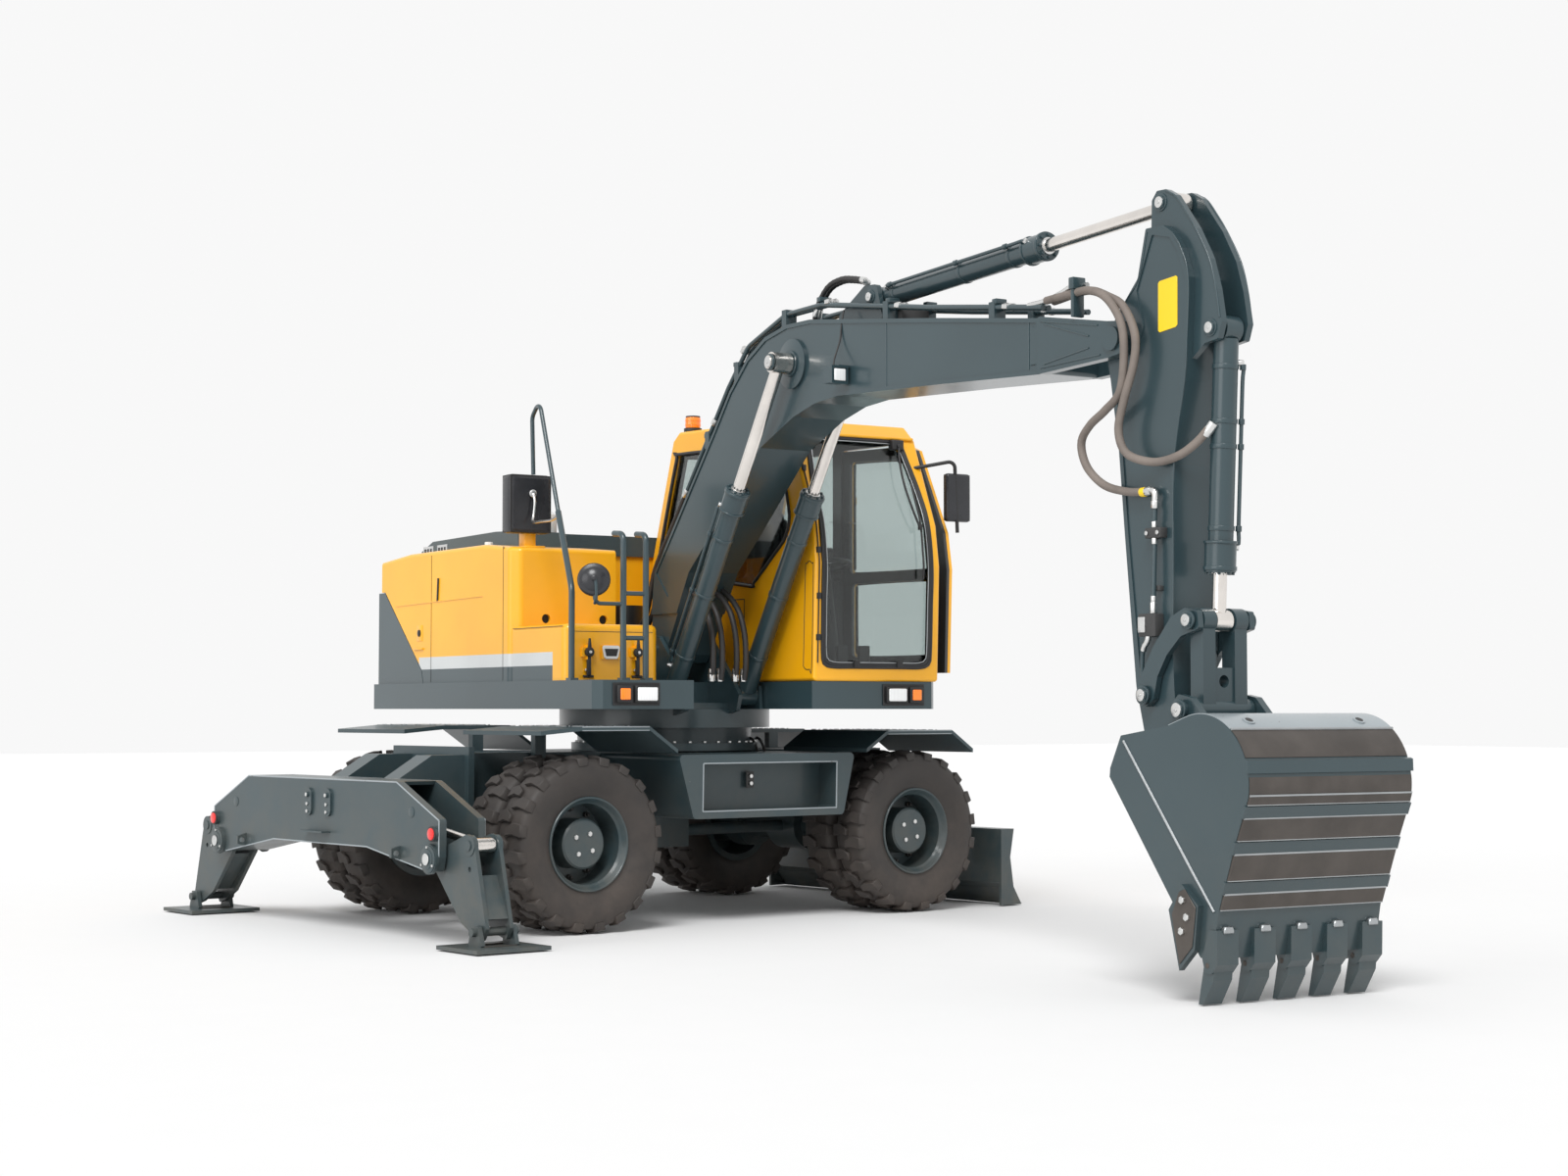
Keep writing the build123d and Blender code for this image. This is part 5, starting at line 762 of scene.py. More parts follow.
# Skirt lamps: clear and amber lenses behind bezels, at both front corners
lampRow = {"face": 1.390, "height": 1.420, "clear": 0.910, "amber": 1.055}
clear, amber, bezels = [], [], []
for side in (-1, 1):
    z = lampRow["height"]
    y = side * lampRow["clear"]
    clear.append(addBlock((lampRow["face"] + 0.028, y - 0.068, z - 0.040),
                          (lampRow["face"] + 0.042, y + 0.068, z + 0.040), 0.008, 3))
    bezels.append(addBlock((lampRow["face"] + 0.008, y - 0.082, z - 0.052),
                           (lampRow["face"] + 0.034, y + 0.082, z + 0.052), 0.008, 3))
    y = side * (lampRow["amber"] + 0.005)
    amber.append(addBlock((lampRow["face"] + 0.028, y - 0.034, z - 0.034),
                          (lampRow["face"] + 0.040, y + 0.034, z + 0.034), 0.007, 3))
    bezels.append(addBlock((lampRow["face"] + 0.008, y - 0.052, z - 0.052),
                           (lampRow["face"] + 0.033, y + 0.052, z + 0.052), 0.008, 3))
    bezels.append(addPlate([(side * 0.812, z - 0.068), (side * 0.812, z + 0.068), (side * 1.132, z + 0.068),
                            (side * 1.132, z - 0.068)],
                           "X", lampRow["face"] - 0.001, lampRow["face"] + 0.010, 0.003))
finishPiece(clear, "head_lenses", "clearLens", "upper")
finishPiece(amber, "turn_lenses", "amberLens", "upper")
finishPiece(bezels, "lamp_bezels", "blackPlastic", "upper")
# Beacon: ribbed amber lens over the socket
beacon = {"place": (-0.290, 0.380), "low": 3.258, "high": 3.338, "radius": 0.053}
x, y = beacon["place"]
dome = [addRod((x, y, beacon["low"]), (x, y, beacon["high"]), beacon["radius"], 32, 0.010),
        addRod((x, y, beacon["low"] + 0.022), (x, y, beacon["low"] + 0.028), beacon["radius"] + 0.003, 32,
               0.001),
        addRod((x, y, beacon["low"] + 0.052), (x, y, beacon["low"] + 0.058), beacon["radius"] + 0.003, 32,
               0.001)]
finishPiece(dome, "beacon_lens", "amberLens", "upper", 50)
print("lamps done")

# Mirrors: glass, backs and arms
mirror = {"round": (1.235, -1.178, 2.108), "axis": (0.85, -0.45, 0.10), "radius": 0.100}
centre, axis = Vector(mirror["round"]), Vector(mirror["axis"]).normalized()
dome = addRod(centre + axis * 0.010, centre + axis * 0.030, 0.098, 48, 0.010)
cup = addRod(centre + axis * 0.028, centre + axis * 0.052, 0.085, 48, 0.020, radiusEnd=0.030)
ball = addRod(centre + axis * 0.040, centre + axis * 0.075, 0.016, 16, 0.003)
finishPiece([dome, cup, ball], "round_mirror_back", "mirrorShell", "upper", 60)
face = addRod(centre - axis * 0.0135, centre - axis * 0.011, 0.092, 48)
finishPiece(face, "round_mirror_face", "mirrorSilver", "upper")
arm = addHose([(1.25, -1.18, 1.965), (1.275, -1.185, 1.985), (1.290, -1.190, 2.030), (1.292, -1.195, 2.085),
               (1.288, -1.200, 2.120)], 0.010, 0.02)
finishPiece(arm, "round_mirror_arm", "darkPaint", "upper", 60)
shell = addBlock((-0.064, -1.176, 2.464), (0.064, -0.874, 2.846), 0.030, 4)
finishPiece(shell, "box_mirror_shell", "mirrorShell", "upper", 60)
pane = addBlock((-0.0665, -1.150, 2.500), (-0.063, -0.900, 2.815), 0.001, 1)
finishPiece(pane, "box_mirror_face", "mirrorSilver", "upper")
stem = [addRod((0.066, -1.02, 2.72), (0.085, -1.02, 2.72), 0.026, 24, 0.004),
        addHose([(0.085, -1.02, 2.72), (0.105, -1.02, 2.66), (0.11, -1.03, 2.58), (0.135, -1.05, 2.535),
                 (0.19, -1.055, 2.525), (0.28, -1.06, 2.525), (0.46, -1.08, 2.52), (0.62, -1.115, 2.530)],
                 0.009, 0.02)]
finishPiece(stem, "box_mirror_stem", "brightSteel", "upper", 60)
post = [addBlock((-0.070, -1.048, 2.366), (0.020, -0.968, 2.500), 0.006),
        addBlock((-0.13, -1.075, 2.366), (0.10, -0.94, 2.382), 0.004)]
finishPiece(post, "mirror_post", "yellowPaint", "upper")
leftShell = addBlock((1.322, 1.334, 2.552), (1.380, 1.526, 2.868), 0.022, 4)
finishPiece(leftShell, "left_mirror_shell", "mirrorShell", "upper", 60)
leftPane = addBlock((1.3195, 1.350, 2.570), (1.323, 1.510, 2.850), 0.001, 1)
finishPiece(leftPane, "left_mirror_face", "mirrorSilver", "upper")
print("mirrors done")

# Hood top: drum, filler cap, vent slots and grille bars
drum = {"place": (-0.740, -0.560), "radius": 0.112, "low": 2.500, "high": 2.690}
x, y = drum["place"]
finishPiece([addRod((x, y, drum["low"]), (x, y, drum["high"] - 0.03), drum["radius"], 48, 0.012),
             addRod((x, y, drum["high"] - 0.035), (x, y, drum["high"]), drum["radius"] - 0.006, 48, 0.012,
                    radiusEnd=drum["radius"] - 0.05)], "drum_cover", "whitePaint", "upper", 50)
finishPiece(addRod((x, y, drum["low"] - 0.012), (x, y, drum["low"] + 0.012), drum["radius"] + 0.006, 48,
                   0.003), "drum_ring", "darkPaint", "upper")
caps = [addRod((-0.84, -0.90, 2.395), (-0.84, -0.90, 2.440), 0.045, 32, 0.008),
        addRod((-0.84, -0.90, 2.436), (-0.84, -0.90, 2.462), 0.030, 8, 0.004)]
finishPiece(caps, "filler_cap", "whitePaint", "upper")
slots, frames = [], []
for x in (-2.02, -1.78):
    frames.append(addBlock((x - 0.085, -0.826, 2.425), (x + 0.085, -0.816, 2.500), 0.003))
    for i in range(3):
        slots.append(addBlock((x - 0.062 + i * 0.050, -0.829, 2.445), (x - 0.036 + i * 0.050, -0.824, 2.482),
                              0.002, 1))
finishPiece(frames, "vent_frames", "brightSteel", "upper")
finishPiece(slots, "vent_slots", "blackPlastic", "upper")
bars = []
for i in range(9):
    x = -1.780 + i * 0.100
    for j in range(12):
        y = -0.60 + j * 0.115
        bars.append(addBlock((x + 0.001, y - 0.004, 2.519), (x + 0.044, y + 0.004, 2.527), 0))
finishPiece(bars, "grille_bars", "blackPaint", "upper")
print("hood top done")

# Stabiliser beam: worn edges, pivot rings, keeper bolts, red lamps
beam = {"face": -2.430, "back": -2.130, "pivot": (1.300, 0.490), "lamp": (1.340, 0.632), "boss": -2.452,
        "edge": ((-1.385, 0.500), (-1.385, 0.711), (-0.915, 0.915), (0.915, 0.915), (1.385, 0.711),
                 (1.385, 0.500))}
edges, rings, silver, red, bezels = [], [], [], [], []
for (y1, z1), (y2, z2) in zip(beam["edge"], beam["edge"][1:]):
    for x in (beam["face"], beam["back"]):
        edges.append(addRod((x, y1 * 0.996, z1 - 0.004), (x, y2 * 0.996, z2 - 0.004), 0.0045, 8))
for y1, z1, y2, z2 in ((-0.573, 0.525, 0.573, 0.525), (0.573, 0.525, 1.215, 0.424),
                       (-0.573, 0.525, -1.215, 0.424)):
    edges.append(addRod((beam["face"], y1, z1 + 0.004), (beam["face"], y2, z2 + 0.004), 0.0045, 8))
for side in (-1, 1):
    y, z = side * beam["pivot"][0], beam["pivot"][1]
    for x, out in ((beam["boss"], -1), (-2.108, 1)):
        rings.append(addRod((x, y, z), (x + out * 0.006, y, z), 0.078, 48, 0.003))
        rings.append(addRod((x, y, z), (x + out * 0.011, y, z), 0.056, 48, 0.003))
        silver.append(addRod((x + out * 0.016, y, z), (x + out * 0.021, y, z), 0.034, 32, 0.003))
        for turn in range(3):
            angle = math.radians(90 + 120 * turn)
            by, bz = y + 0.067 * math.cos(angle), z + 0.067 * math.sin(angle)
            silver.append(addRod((x + out * 0.005, by, bz), (x + out * 0.013, by, bz), 0.0085, 6, 0.001))
    y, z = side * beam["lamp"][0], beam["lamp"][1]
    bezels.append(addRod((-2.454, y, z), (-2.459, y, z), 0.044, 40, 0.002))
    red.append(addRod((-2.456, y, z), (-2.466, y, z), 0.034, 40, 0.005))
    for z in (0.715, 0.760):
        silver.append(addRod((-2.443, side * 0.118, z), (-2.454, side * 0.118, z), 0.012, 6, 0.002))
    silver.append(addRod((-2.453, side * 0.118, 0.815), (-2.459, side * 0.118, 0.815), 0.013, 6, 0.002))
    rings.append(addRod((-2.4285, side * 1.080, 0.745), (-2.4335, side * 1.080, 0.745), 0.031, 32, 0.002))
finishPiece(edges, "beam_edges", "greyPaint", "chassis", 40, underTurn)
finishPiece(rings, "beam_rings", "chassisPaint", "chassis", 35, underTurn)
finishPiece(silver, "beam_bolts", "brightSteel", "chassis", 35, underTurn)
finishPiece(bezels, "tail_bezels", "blackPlastic", "chassis", 35, underTurn)
finishPiece(red, "tail_lenses", "redLens", "chassis", 35, underTurn)

# Stabiliser pads: wear ribs
for name, side in (("right", -1), ("left", 1)):
    trims = []
    for y in (-0.070, 0.070):
        trims.append(addBlock((-2.385, side * 1.715 + y - 0.006, 0.029),
                              (-2.175, side * 1.715 + y + 0.006, 0.036), 0.002))
    finishPiece(trims, "pad_ribs_" + name, "wornSteel", "pad_" + name, 35, underTurn)

# Tool boxes: pale inner frame, latch plate with two knobs; steps with raised lozenges and worn lips
under = {"boxY": 1.200, "recessY": 1.030,
         "frame": ((-0.440, 0.995), (0.635, 0.995), (0.630, 0.700), (-0.445, 0.700)),
         "steps": ((-1.345, -0.855, 1.225), (1.070, 1.635, 1.190)), "stepIn": 0.360, "stepOut": 1.205}
frames, latches, knobs, lozenges, lips = [], [], [], [], []
for side in (-1, 1):
    corners = under["frame"]
    for i, (x, z) in enumerate(corners):
        px, pz = corners[i - 1]
        frames.append(addRod((px, side * (under["boxY"] - 0.001), pz), (x, side * (under["boxY"] - 0.001), z),
                             0.005, 8))
    y = side * (under["recessY"] + 0.026)
    latches.append(addBlock((0.004, min(y, y + side * 0.004), 0.834),
                            (0.066, max(y, y + side * 0.004), 0.936), 0.0015))
    for z in (0.862, 0.908):
        knobs.append(addRod((0.035, y, z), (0.035, y + side * 0.020, z), 0.014, 20, 0.004))
    for low, high, top in under["steps"]:
        # one row of lozenges is laid and then copied across the step
        y = side * (under["stepIn"] + 0.055)
        row = []
        for i in range(int((high - low - 0.05) / 0.05)):
            x = low + 0.025 + i * 0.05
            lean = 0.010 if i % 2 else -0.010
            row.append(addRod((x - 0.012, y - lean, top + 0.0012), (x + 0.012, y + lean, top + 0.0012),
                              0.0042, 6))
        row = joinPieces(row)
        lozenges.append(row)
        for i in range(1, 9):
            lozenges.append(copyPiece(row, Matrix.Translation((0.025 * (i % 2), side * i * 0.092, 0))))
        lips.append(addRod((low, side * (under["stepOut"] - 0.002), top - 0.002),
                           (high, side * (under["stepOut"] - 0.002), top - 0.002), 0.0045, 8))
        lips.append(addRod((low, side * (under["stepOut"] - 0.002), top - 0.023),
                           (high, side * (under["stepOut"] - 0.002), top - 0.023), 0.0035, 8))
finishPiece(frames, "toolbox_frames", "greyPaint", "chassis", 40, underTurn)
finishPiece(latches, "toolbox_latches", "blackPaint", "chassis", 35, underTurn)
finishPiece(knobs, "toolbox_knobs", "brightSteel", "chassis", 35, underTurn)
finishPiece(lips, "step_lips", "greyPaint", "chassis", 40, underTurn)
finishPiece(lozenges, "step_lozenges", "wornEdge", "chassis", 40, underTurn)

# Slew ring: bolts round its foot, orange block and fittings by it, hoses down to the frame
ringBolts = []
for i in range(36):
    angle = 2 * math.pi * i / 36
    spot = Vector((0.145 + 0.585 * math.cos(angle), 0.585 * math.sin(angle), 1.108))
    ringBolts.append(addRod(spot, spot + Vector((0, 0, 0.014)), 0.013, 6, 0.002))
finishPiece(ringBolts, "slew_bolts", "brightSteel", "chassis", 35, underTurn)
# The orange block takes the lens finish, so it glows faintly too: painted light.
orange = [addBlock((0.335, -0.400, 1.102), (0.420, -0.345, 1.150), 0.006, 3)]
finishPiece(orange, "orange_block", "amberLens", "chassis", 35, underTurn)
fittings = []
for i in range(3):
    x = 0.47 + 0.06 * i
    fittings.append(addRod((x, -0.410, 1.098), (x, -0.410, 1.130), 0.014, 6, 0.002))
    fittings.append(addRod((x, -0.410, 1.130), (x, -0.432, 1.140), 0.010, 14, 0.002))
finishPiece(fittings, "slew_fittings", "brightSteel", "chassis", 35, underTurn)
lines = []
for i in range(3):
    x = 0.47 + 0.06 * i
    lines.append(addHose([(x, -0.430, 1.140), (x, -0.462, 1.128), (x + 0.02, -0.475, 1.08),
                          (x + 0.05, -0.470, 1.00), (x + 0.12, -0.440, 0.94), (x + 0.22, -0.38, 0.90)], 0.009,
                          0.03))
for side in (-1, 1):
    lines.append(addHose([(-1.05, side * 0.345, 0.86), (-1.12, side * 0.42, 0.84), (-1.20, side * 0.50, 0.76),
                          (-1.24, side * 0.56, 0.70)], 0.010, 0.03))
    lines.append(addHose([(1.05, side * 0.345, 0.86), (1.12, side * 0.42, 0.84), (1.20, side * 0.50, 0.76),
                          (1.24, side * 0.56, 0.70)], 0.010, 0.03))
finishPiece(lines, "frame_hoses", "hoseRubber", "chassis", 60, underTurn)

# Blade: bolts of its cutting edge
bladeTrim = {"bolts": 10}
bolts = []
for i in range(bladeTrim["bolts"]):
    y = -1.125 + 2.25 * i / (bladeTrim["bolts"] - 1)
    bolts.append(addRod((2.172, y, 0.075), (2.206, y, 0.083), 0.015, 6, 0.002))
finishPiece(bolts, "blade_bolts", "brightSteel", "blade", 35, underTurn)
print("undercarriage trim done")

# Cab: rubber round the windscreen, bright inner edge, clips, wiper, motor box, seams, door trim and seals
cab = {
    "front": ((1.505, 1.400), (2.250, 1.425), (2.520, 1.385), (3.095, 1.140), (3.190, 1.030)),
    "screen": ((0.352, 1.70), (0.350, 2.00), (0.350, 2.25), (0.350, 2.52), (0.353, 2.72), (0.378, 2.93),
               (0.398, 3.04),
               (0.445, 3.078), (0.60, 3.082), (0.767, 3.083), (0.95, 3.082), (1.06, 3.078), (1.110, 3.04),
               (1.133, 2.93), (1.165, 2.72), (1.170, 2.52), (1.170, 2.25), (1.170, 2.00), (1.168, 1.70),
               (1.155, 1.625), (1.09, 1.603), (0.95, 1.602), (0.767, 1.602), (0.58, 1.602), (0.43, 1.603),
               (0.365, 1.625), (0.352, 1.70)),
    "rightWindow": ((1.085, 2.43), (1.120, 2.56), (0.985, 3.02), (-0.34, 3.08), (-0.59, 2.40), (-0.59, 2.30),
                    (0.64, 2.13)),
    "right": 0.290, "left": 1.245, "body": "upper",
}


def cabFront(z, lift=0.0):
    line = cab["front"]
    for (z1, x1), (z2, x2) in zip(line, line[1:]):
        if z <= z2:
            return x1 + (x2 - x1) * (z - z1) / (z2 - z1) + lift
    return line[-1][1] + lift


seal, edge = [], []
for grow, radius in ((0.007, 0.012), (-0.008, 0.011)):
    route = []
    for y, z in cab["screen"]:
        sy = y + (0.76 - y) * -grow / 0.41
        sz = z + (2.34 - z) * -grow / 0.74
        route.append((cabFront(sz, -0.001), sy, sz))
    seal.append(addHose(route, radius, 0.03))
route = []
for y, z in cab["screen"]:
    sy = y + (0.76 - y) * 0.022 / 0.41
    sz = z + (2.34 - z) * 0.022 / 0.74
    route.append((cabFront(sz, 0.001), sy, sz))
edge.append(addHose(route, 0.0035, 0.03))
finishPiece(seal, "screen_seal", "blackPlastic", cab["body"], 60)
finishPiece(edge, "screen_edge", "wornEdge", cab["body"], 60)

clips, cable = [], []
for y in (0.600, 0.930):
    clips.append(addBlock((cabFront(1.60) - 0.004, y - 0.022, 1.592),
                          (cabFront(1.60) + 0.020, y + 0.022, 1.636), 0.005))
for z in (1.78, 2.04, 2.33, 2.58, 2.86):
    x = cabFront(z)
    clips.append(addBlock((x - 0.012, 0.300, z - 0.020), (x + 0.014, 0.326, z + 0.020), 0.004))
for y, low, high in ((1.085, 3.020, 3.085), (0.445, 3.030, 3.070)):
    clips.append(addBlock((cabFront(high) - 0.004, y - 0.055, low), (cabFront(low) + 0.022, y + 0.035, high),
                          0.007, 3))
cable.append(addHose([(cabFront(z, 0.007), 0.309, z) for z in (1.62, 1.80, 2.05, 2.25, 2.35, 2.50, 2.60, 2.80,
        2.95, 3.05)], 0.0045, 0.03))
finishPiece(clips, "screen_clips", "blackPlastic", cab["body"])
finishPiece(cable, "screen_cable", "hoseRubber", cab["body"], 60)

# Wiper from the motor box at the top, its arm bowed down over the glass, with blade and spindle
arm = [addHose([(cabFront(3.04, 0.030), 1.080, 3.040), (cabFront(2.96, 0.036), 1.055, 2.960),
                (cabFront(2.80, 0.038), 1.040, 2.800),
                (cabFront(2.62, 0.036), 1.058, 2.620), (cabFront(2.50, 0.034), 1.085, 2.500)], 0.0075, 0.03),
       addRod((cabFront(3.04, 0.015), 1.080, 3.040), (cabFront(3.04, 0.040), 1.080, 3.046), 0.016, 20, 0.003)]
finishPiece(arm, "wiper_arm", "blackPlastic", cab["body"], 60)
blade = [addHose([(cabFront(z, 0.018), 1.098 + 0.012 * math.sin((z - 2.2) * 2.6), z) for z in (2.80, 2.70,
        2.55, 2.45, 2.35, 2.25, 2.16)], 0.0065, 0.03),
         addBlock((cabFront(2.50) + 0.018, 1.078, 2.482), (cabFront(2.50) + 0.040, 1.104, 2.518), 0.004)]
finishPiece(blade, "wiper_blade", "hoseRubber", cab["body"], 60)

# Roof hatch with its seam, rain lip over the windscreen, embossed panel low on the right wall
hatch = [addPlate([(0.80, 3.196), (0.80, 3.214), (0.10, 3.238), (0.10, 3.220)], "Y", 0.50, 1.03, 0.006)]
finishPiece(hatch, "roof_hatch", "yellowPaint", cab["body"])
lip = [addHose([(1.150, y, 3.098) for y in (0.32, 0.50, 0.767, 1.03, 1.215)], 0.011, 0.05)]
finishPiece(lip, "roof_lip", "yellowPaint", cab["body"], 60)
seams = []
for x, z in ((0.82, 3.1945 + 0.0015), (0.08, 3.1945 + 0.026)):
    seams.append(addRod((x, 0.48, z), (x, 1.05, z), 0.003, 8))
for y in (0.48, 1.05):
    seams.append(addRod((0.82, y, 3.196), (0.08, y, 3.2205), 0.003, 8))
panel = [(1.275, 1.600), (1.300, 1.580), (1.345, 1.580), (1.372, 1.600), (1.392, 2.200), (1.380, 2.240),
         (1.345, 2.262), (1.315, 2.240), (1.300, 2.200)]
seams.append(addHose([(x, cab["right"] - 0.0005, z) for x, z in panel + panel[:1]], 0.0028, 0.02))
seams.append(addRod((-0.66, cab["right"] - 0.0005, 2.050), (0.55, cab["right"] - 0.0005, 2.050), 0.0028, 8))
seams.append(addRod((0.55, cab["right"] - 0.0005, 1.515), (0.55, cab["right"] - 0.0005, 2.050), 0.0028, 8))
finishPiece(seams, "cab_seams", "blackPlastic", cab["body"], 50)

# Rubber round the side and rear windows
trims = []
corners = cab["rightWindow"]
loop = []
for i, (x, z) in enumerate(corners):
    px, pz = corners[i - 1]
    nx, nz = corners[(i + 1) % len(corners)]
    for tx, tz in ((px, pz), (nx, nz)):
        reach = math.hypot(tx - x, tz - z)
        share = min(0.05 / reach, 0.45)
        loop.append((x + (tx - x) * share, z + (tz - z) * share))
loop.append(loop[0])
trims.append(addHose([(x, cab["right"] - 0.002, z) for x, z in loop], 0.012, 0.03))
rear = [(0.45, 2.46), (1.08, 2.46), (1.12, 2.50), (1.12, 3.04), (1.08, 3.075), (0.45, 3.075), (0.41, 3.04),
        (0.41, 2.50), (0.45, 2.46)]
trims.append(addHose([(-0.715 + (z - 2.35) * 0.3614, y, z) for y, z in rear], 0.012, 0.03))
finishPiece(trims, "window_seals", "blackPlastic", cab["body"], 60)

# Door: seals round both panes, handle with its dished plate, two hinges
doorMove = Matrix.Translation((0.318, 1.268, 0)) @ Matrix.Rotation(doorTurn, 4,
        "Z") @ Matrix.Translation((-0.318, -1.268, 0))
panes = []
for corners in (((0.40, 2.25), (1.255, 2.25), (1.24, 2.44), (1.005, 2.985), (0.40, 3.01)),
                ((0.42, 1.68), (1.24, 1.68), (1.262, 2.18), (0.42, 2.18))):
    loop = []
    for i, (x, z) in enumerate(corners):
        for tx, tz in (corners[i - 1], corners[(i + 1) % len(corners)]):
            share = 0.035 / math.hypot(tx - x, tz - z)
            loop.append((x + (tx - x) * share, z + (tz - z) * share))
    loop.append(loop[0])
    panes.append(addHose([(x, cab["left"] + 0.001, z) for x, z in loop], 0.011, 0.03))
finishPiece(panes, "door_seals", "blackPlastic", "door", 60, doorMove)
grip = [addBlock((1.150, 1.243, 2.190), (1.275, 1.249, 2.238), 0.004),
        addBlock((1.165, 1.262, 2.203), (1.262, 1.276, 2.225), 0.005),
        addBlock((1.168, 1.246, 2.204), (1.184, 1.268, 2.224), 0.003),
        addBlock((1.243, 1.246, 2.204), (1.259, 1.268, 2.224), 0.003)]
finishPiece(grip, "door_handle", "blackPlastic", "door", 35, doorMove)
hinges = []
for z in (1.80, 2.72):
    hinges.append(addRod((0.318, 1.268, z - 0.045), (0.318, 1.268, z + 0.045), 0.014, 20, 0.003))
    hinges.append(addBlock((0.262, 1.2445, z - 0.036), (0.318, 1.256, z + 0.036), 0.003))
finishPiece(hinges, "door_hinges", "blackPlastic", cab["body"])

# Seat: padded cushions with side bolsters, in place of the plain ones
mid = 0.7675
cushions = [addBlock((-0.055, mid - 0.235, 1.984), (0.415, mid + 0.235, 2.098), 0.034, 4)]
for side in (-1, 1):
    cushions.append(addBlock((-0.040, mid + side * 0.190 - 0.044, 2.020),
                             (0.400, mid + side * 0.190 + 0.044, 2.112), 0.026, 4))
back = [(-0.064, 2.062), (0.034, 2.064), (0.012, 2.240), (-0.066, 2.692), (-0.100, 2.700), (-0.154, 2.692)]
cushions.append(addPlate(back, "Y", mid - 0.228, mid + 0.228, 0.022))
for side in (-1, 1):
    wing = [(0.000, 2.180), (0.046, 2.190), (0.040, 2.300), (-0.030, 2.640), (-0.070, 2.640)]
    cushions.append(addPlate(wing, "Y", mid + side * 0.195 - 0.034, mid + side * 0.195 + 0.034, 0.014))
head = [(-0.073, 2.732), (-0.010, 2.722), (-0.004, 2.745), (-0.026, 2.888), (-0.050, 2.899), (-0.092, 2.896)]
cushions.append(addPlate(head, "Y", mid - 0.128, mid + 0.128, 0.018))
cushions.append(addPlate([(-0.118, 2.680), (-0.082, 2.680), (-0.058, 2.750), (-0.082, 2.750)], "Y",
                         mid - 0.055, mid + 0.055, 0.004))
cloth = finishPiece(cushions, "seat_cushions", "seatCloth", cab["body"], 60)
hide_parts("seat")
stitches = []
for offset in (-0.140, 0.0, 0.140):
    stitches.append(addHose([(x, mid + offset, 2.0985) for x in (-0.02, 0.10, 0.22, 0.34, 0.39)], 0.003,
                            0.04))
finishPiece(stitches, "seat_piping", "hoseRubber", cab["body"], 60)

# Grip of each joystick, pedals and a screen by the windscreen
inside = []
for side in (-1, 1):
    y = mid + side * 0.310
    inside.append(addBlock((0.318, y - 0.026, 2.335), (0.382, y + 0.026, 2.425), 0.020, 4))
    inside.append(addRod((0.340, y, 2.196), (0.342, y, 2.232), 0.046, 28, 0.004, 0.022))
    inside.append(addBlock((1.090, mid + side * 0.085 - 0.040, 1.600),
                           (1.130, mid + side * 0.085 + 0.040, 1.740), 0.008))
inside.append(addBlock((1.060, 0.395, 2.180), (1.095, 0.560, 2.300), 0.010, 3))
inside.append(addRod((1.080, 0.480, 2.100), (1.080, 0.480, 2.185), 0.011, 14))
finishPiece(inside, "cab_controls", "blackPlastic", cab["body"], 45)
print("cab trim done")

# Pin ends: bright discs with a keeper plate and two bolts, on both sides of the boom's plane
pins = {
    "boom_cylinder": {"spot": (2.035, 3.385), "reach": 0.352, "radius": 0.034, "body": "boom_rods"},
    "arm_pivot": {"spot": (5.040, 3.155), "reach": 0.210, "radius": 0.036, "body": "boom"},
    "arm_cylinder_base": {"spot": (2.746, 3.695), "reach": 0.110, "radius": 0.026, "body": "boom"},
    "arm_cylinder_pin": {"spot": (5.292, 3.799), "reach": 0.114, "radius": 0.028, "body": "arm"},
    "bucket_cylinder_base": {"spot": (5.643, 3.139), "reach": 0.114, "radius": 0.027, "body": "arm"},
    "rocker": {"spot": (5.241, 1.397), "reach": 0.208, "radius": 0.030, "body": "arm"},
    "link": {"spot": (5.570, 1.750), "reach": 0.208, "radius": 0.029, "body": "link"},
    "bucket_link": {"spot": (5.568, 1.326), "reach": 0.266, "radius": 0.034, "body": "bucket"},
    "bucket": {"spot": (5.331, 1.037), "reach": 0.256, "radius": 0.037, "body": "bucket"},
}
for name, pin in pins.items():
    discs, collars = [], []
    x, z = pin["spot"]
    for side in (-1, 1):
        y = boomMiddle + side * pin["reach"]
        discs.append(addRod((x, y - side * 0.002, z), (x, y + side * 0.005, z), pin["radius"], 32, 0.002))
        discs.append(addRod((x, y, z), (x, y + side * 0.008, z), pin["radius"] * 0.32, 6, 0.001))
        collars.append(addRod((x, y - side * 0.020, z), (x, y - side * 0.008, z), pin["radius"] + 0.017, 36,
                              0.003))
        for turn in (-1, 1):
            bx, bz = x + turn * (pin["radius"] + 0.004) * 0.7, z - (pin["radius"] + 0.004) * 0.75
            collars.append(addRod((bx, y - side * 0.010, bz), (bx, y - side * 0.002, bz), 0.007, 6, 0.001))
    finishPiece(discs, "pin_ends_" + name, "brightSteel", pin["body"])
    finishPiece(collars, "pin_collars_" + name, "darkPaint", pin["body"])
print("pins done")

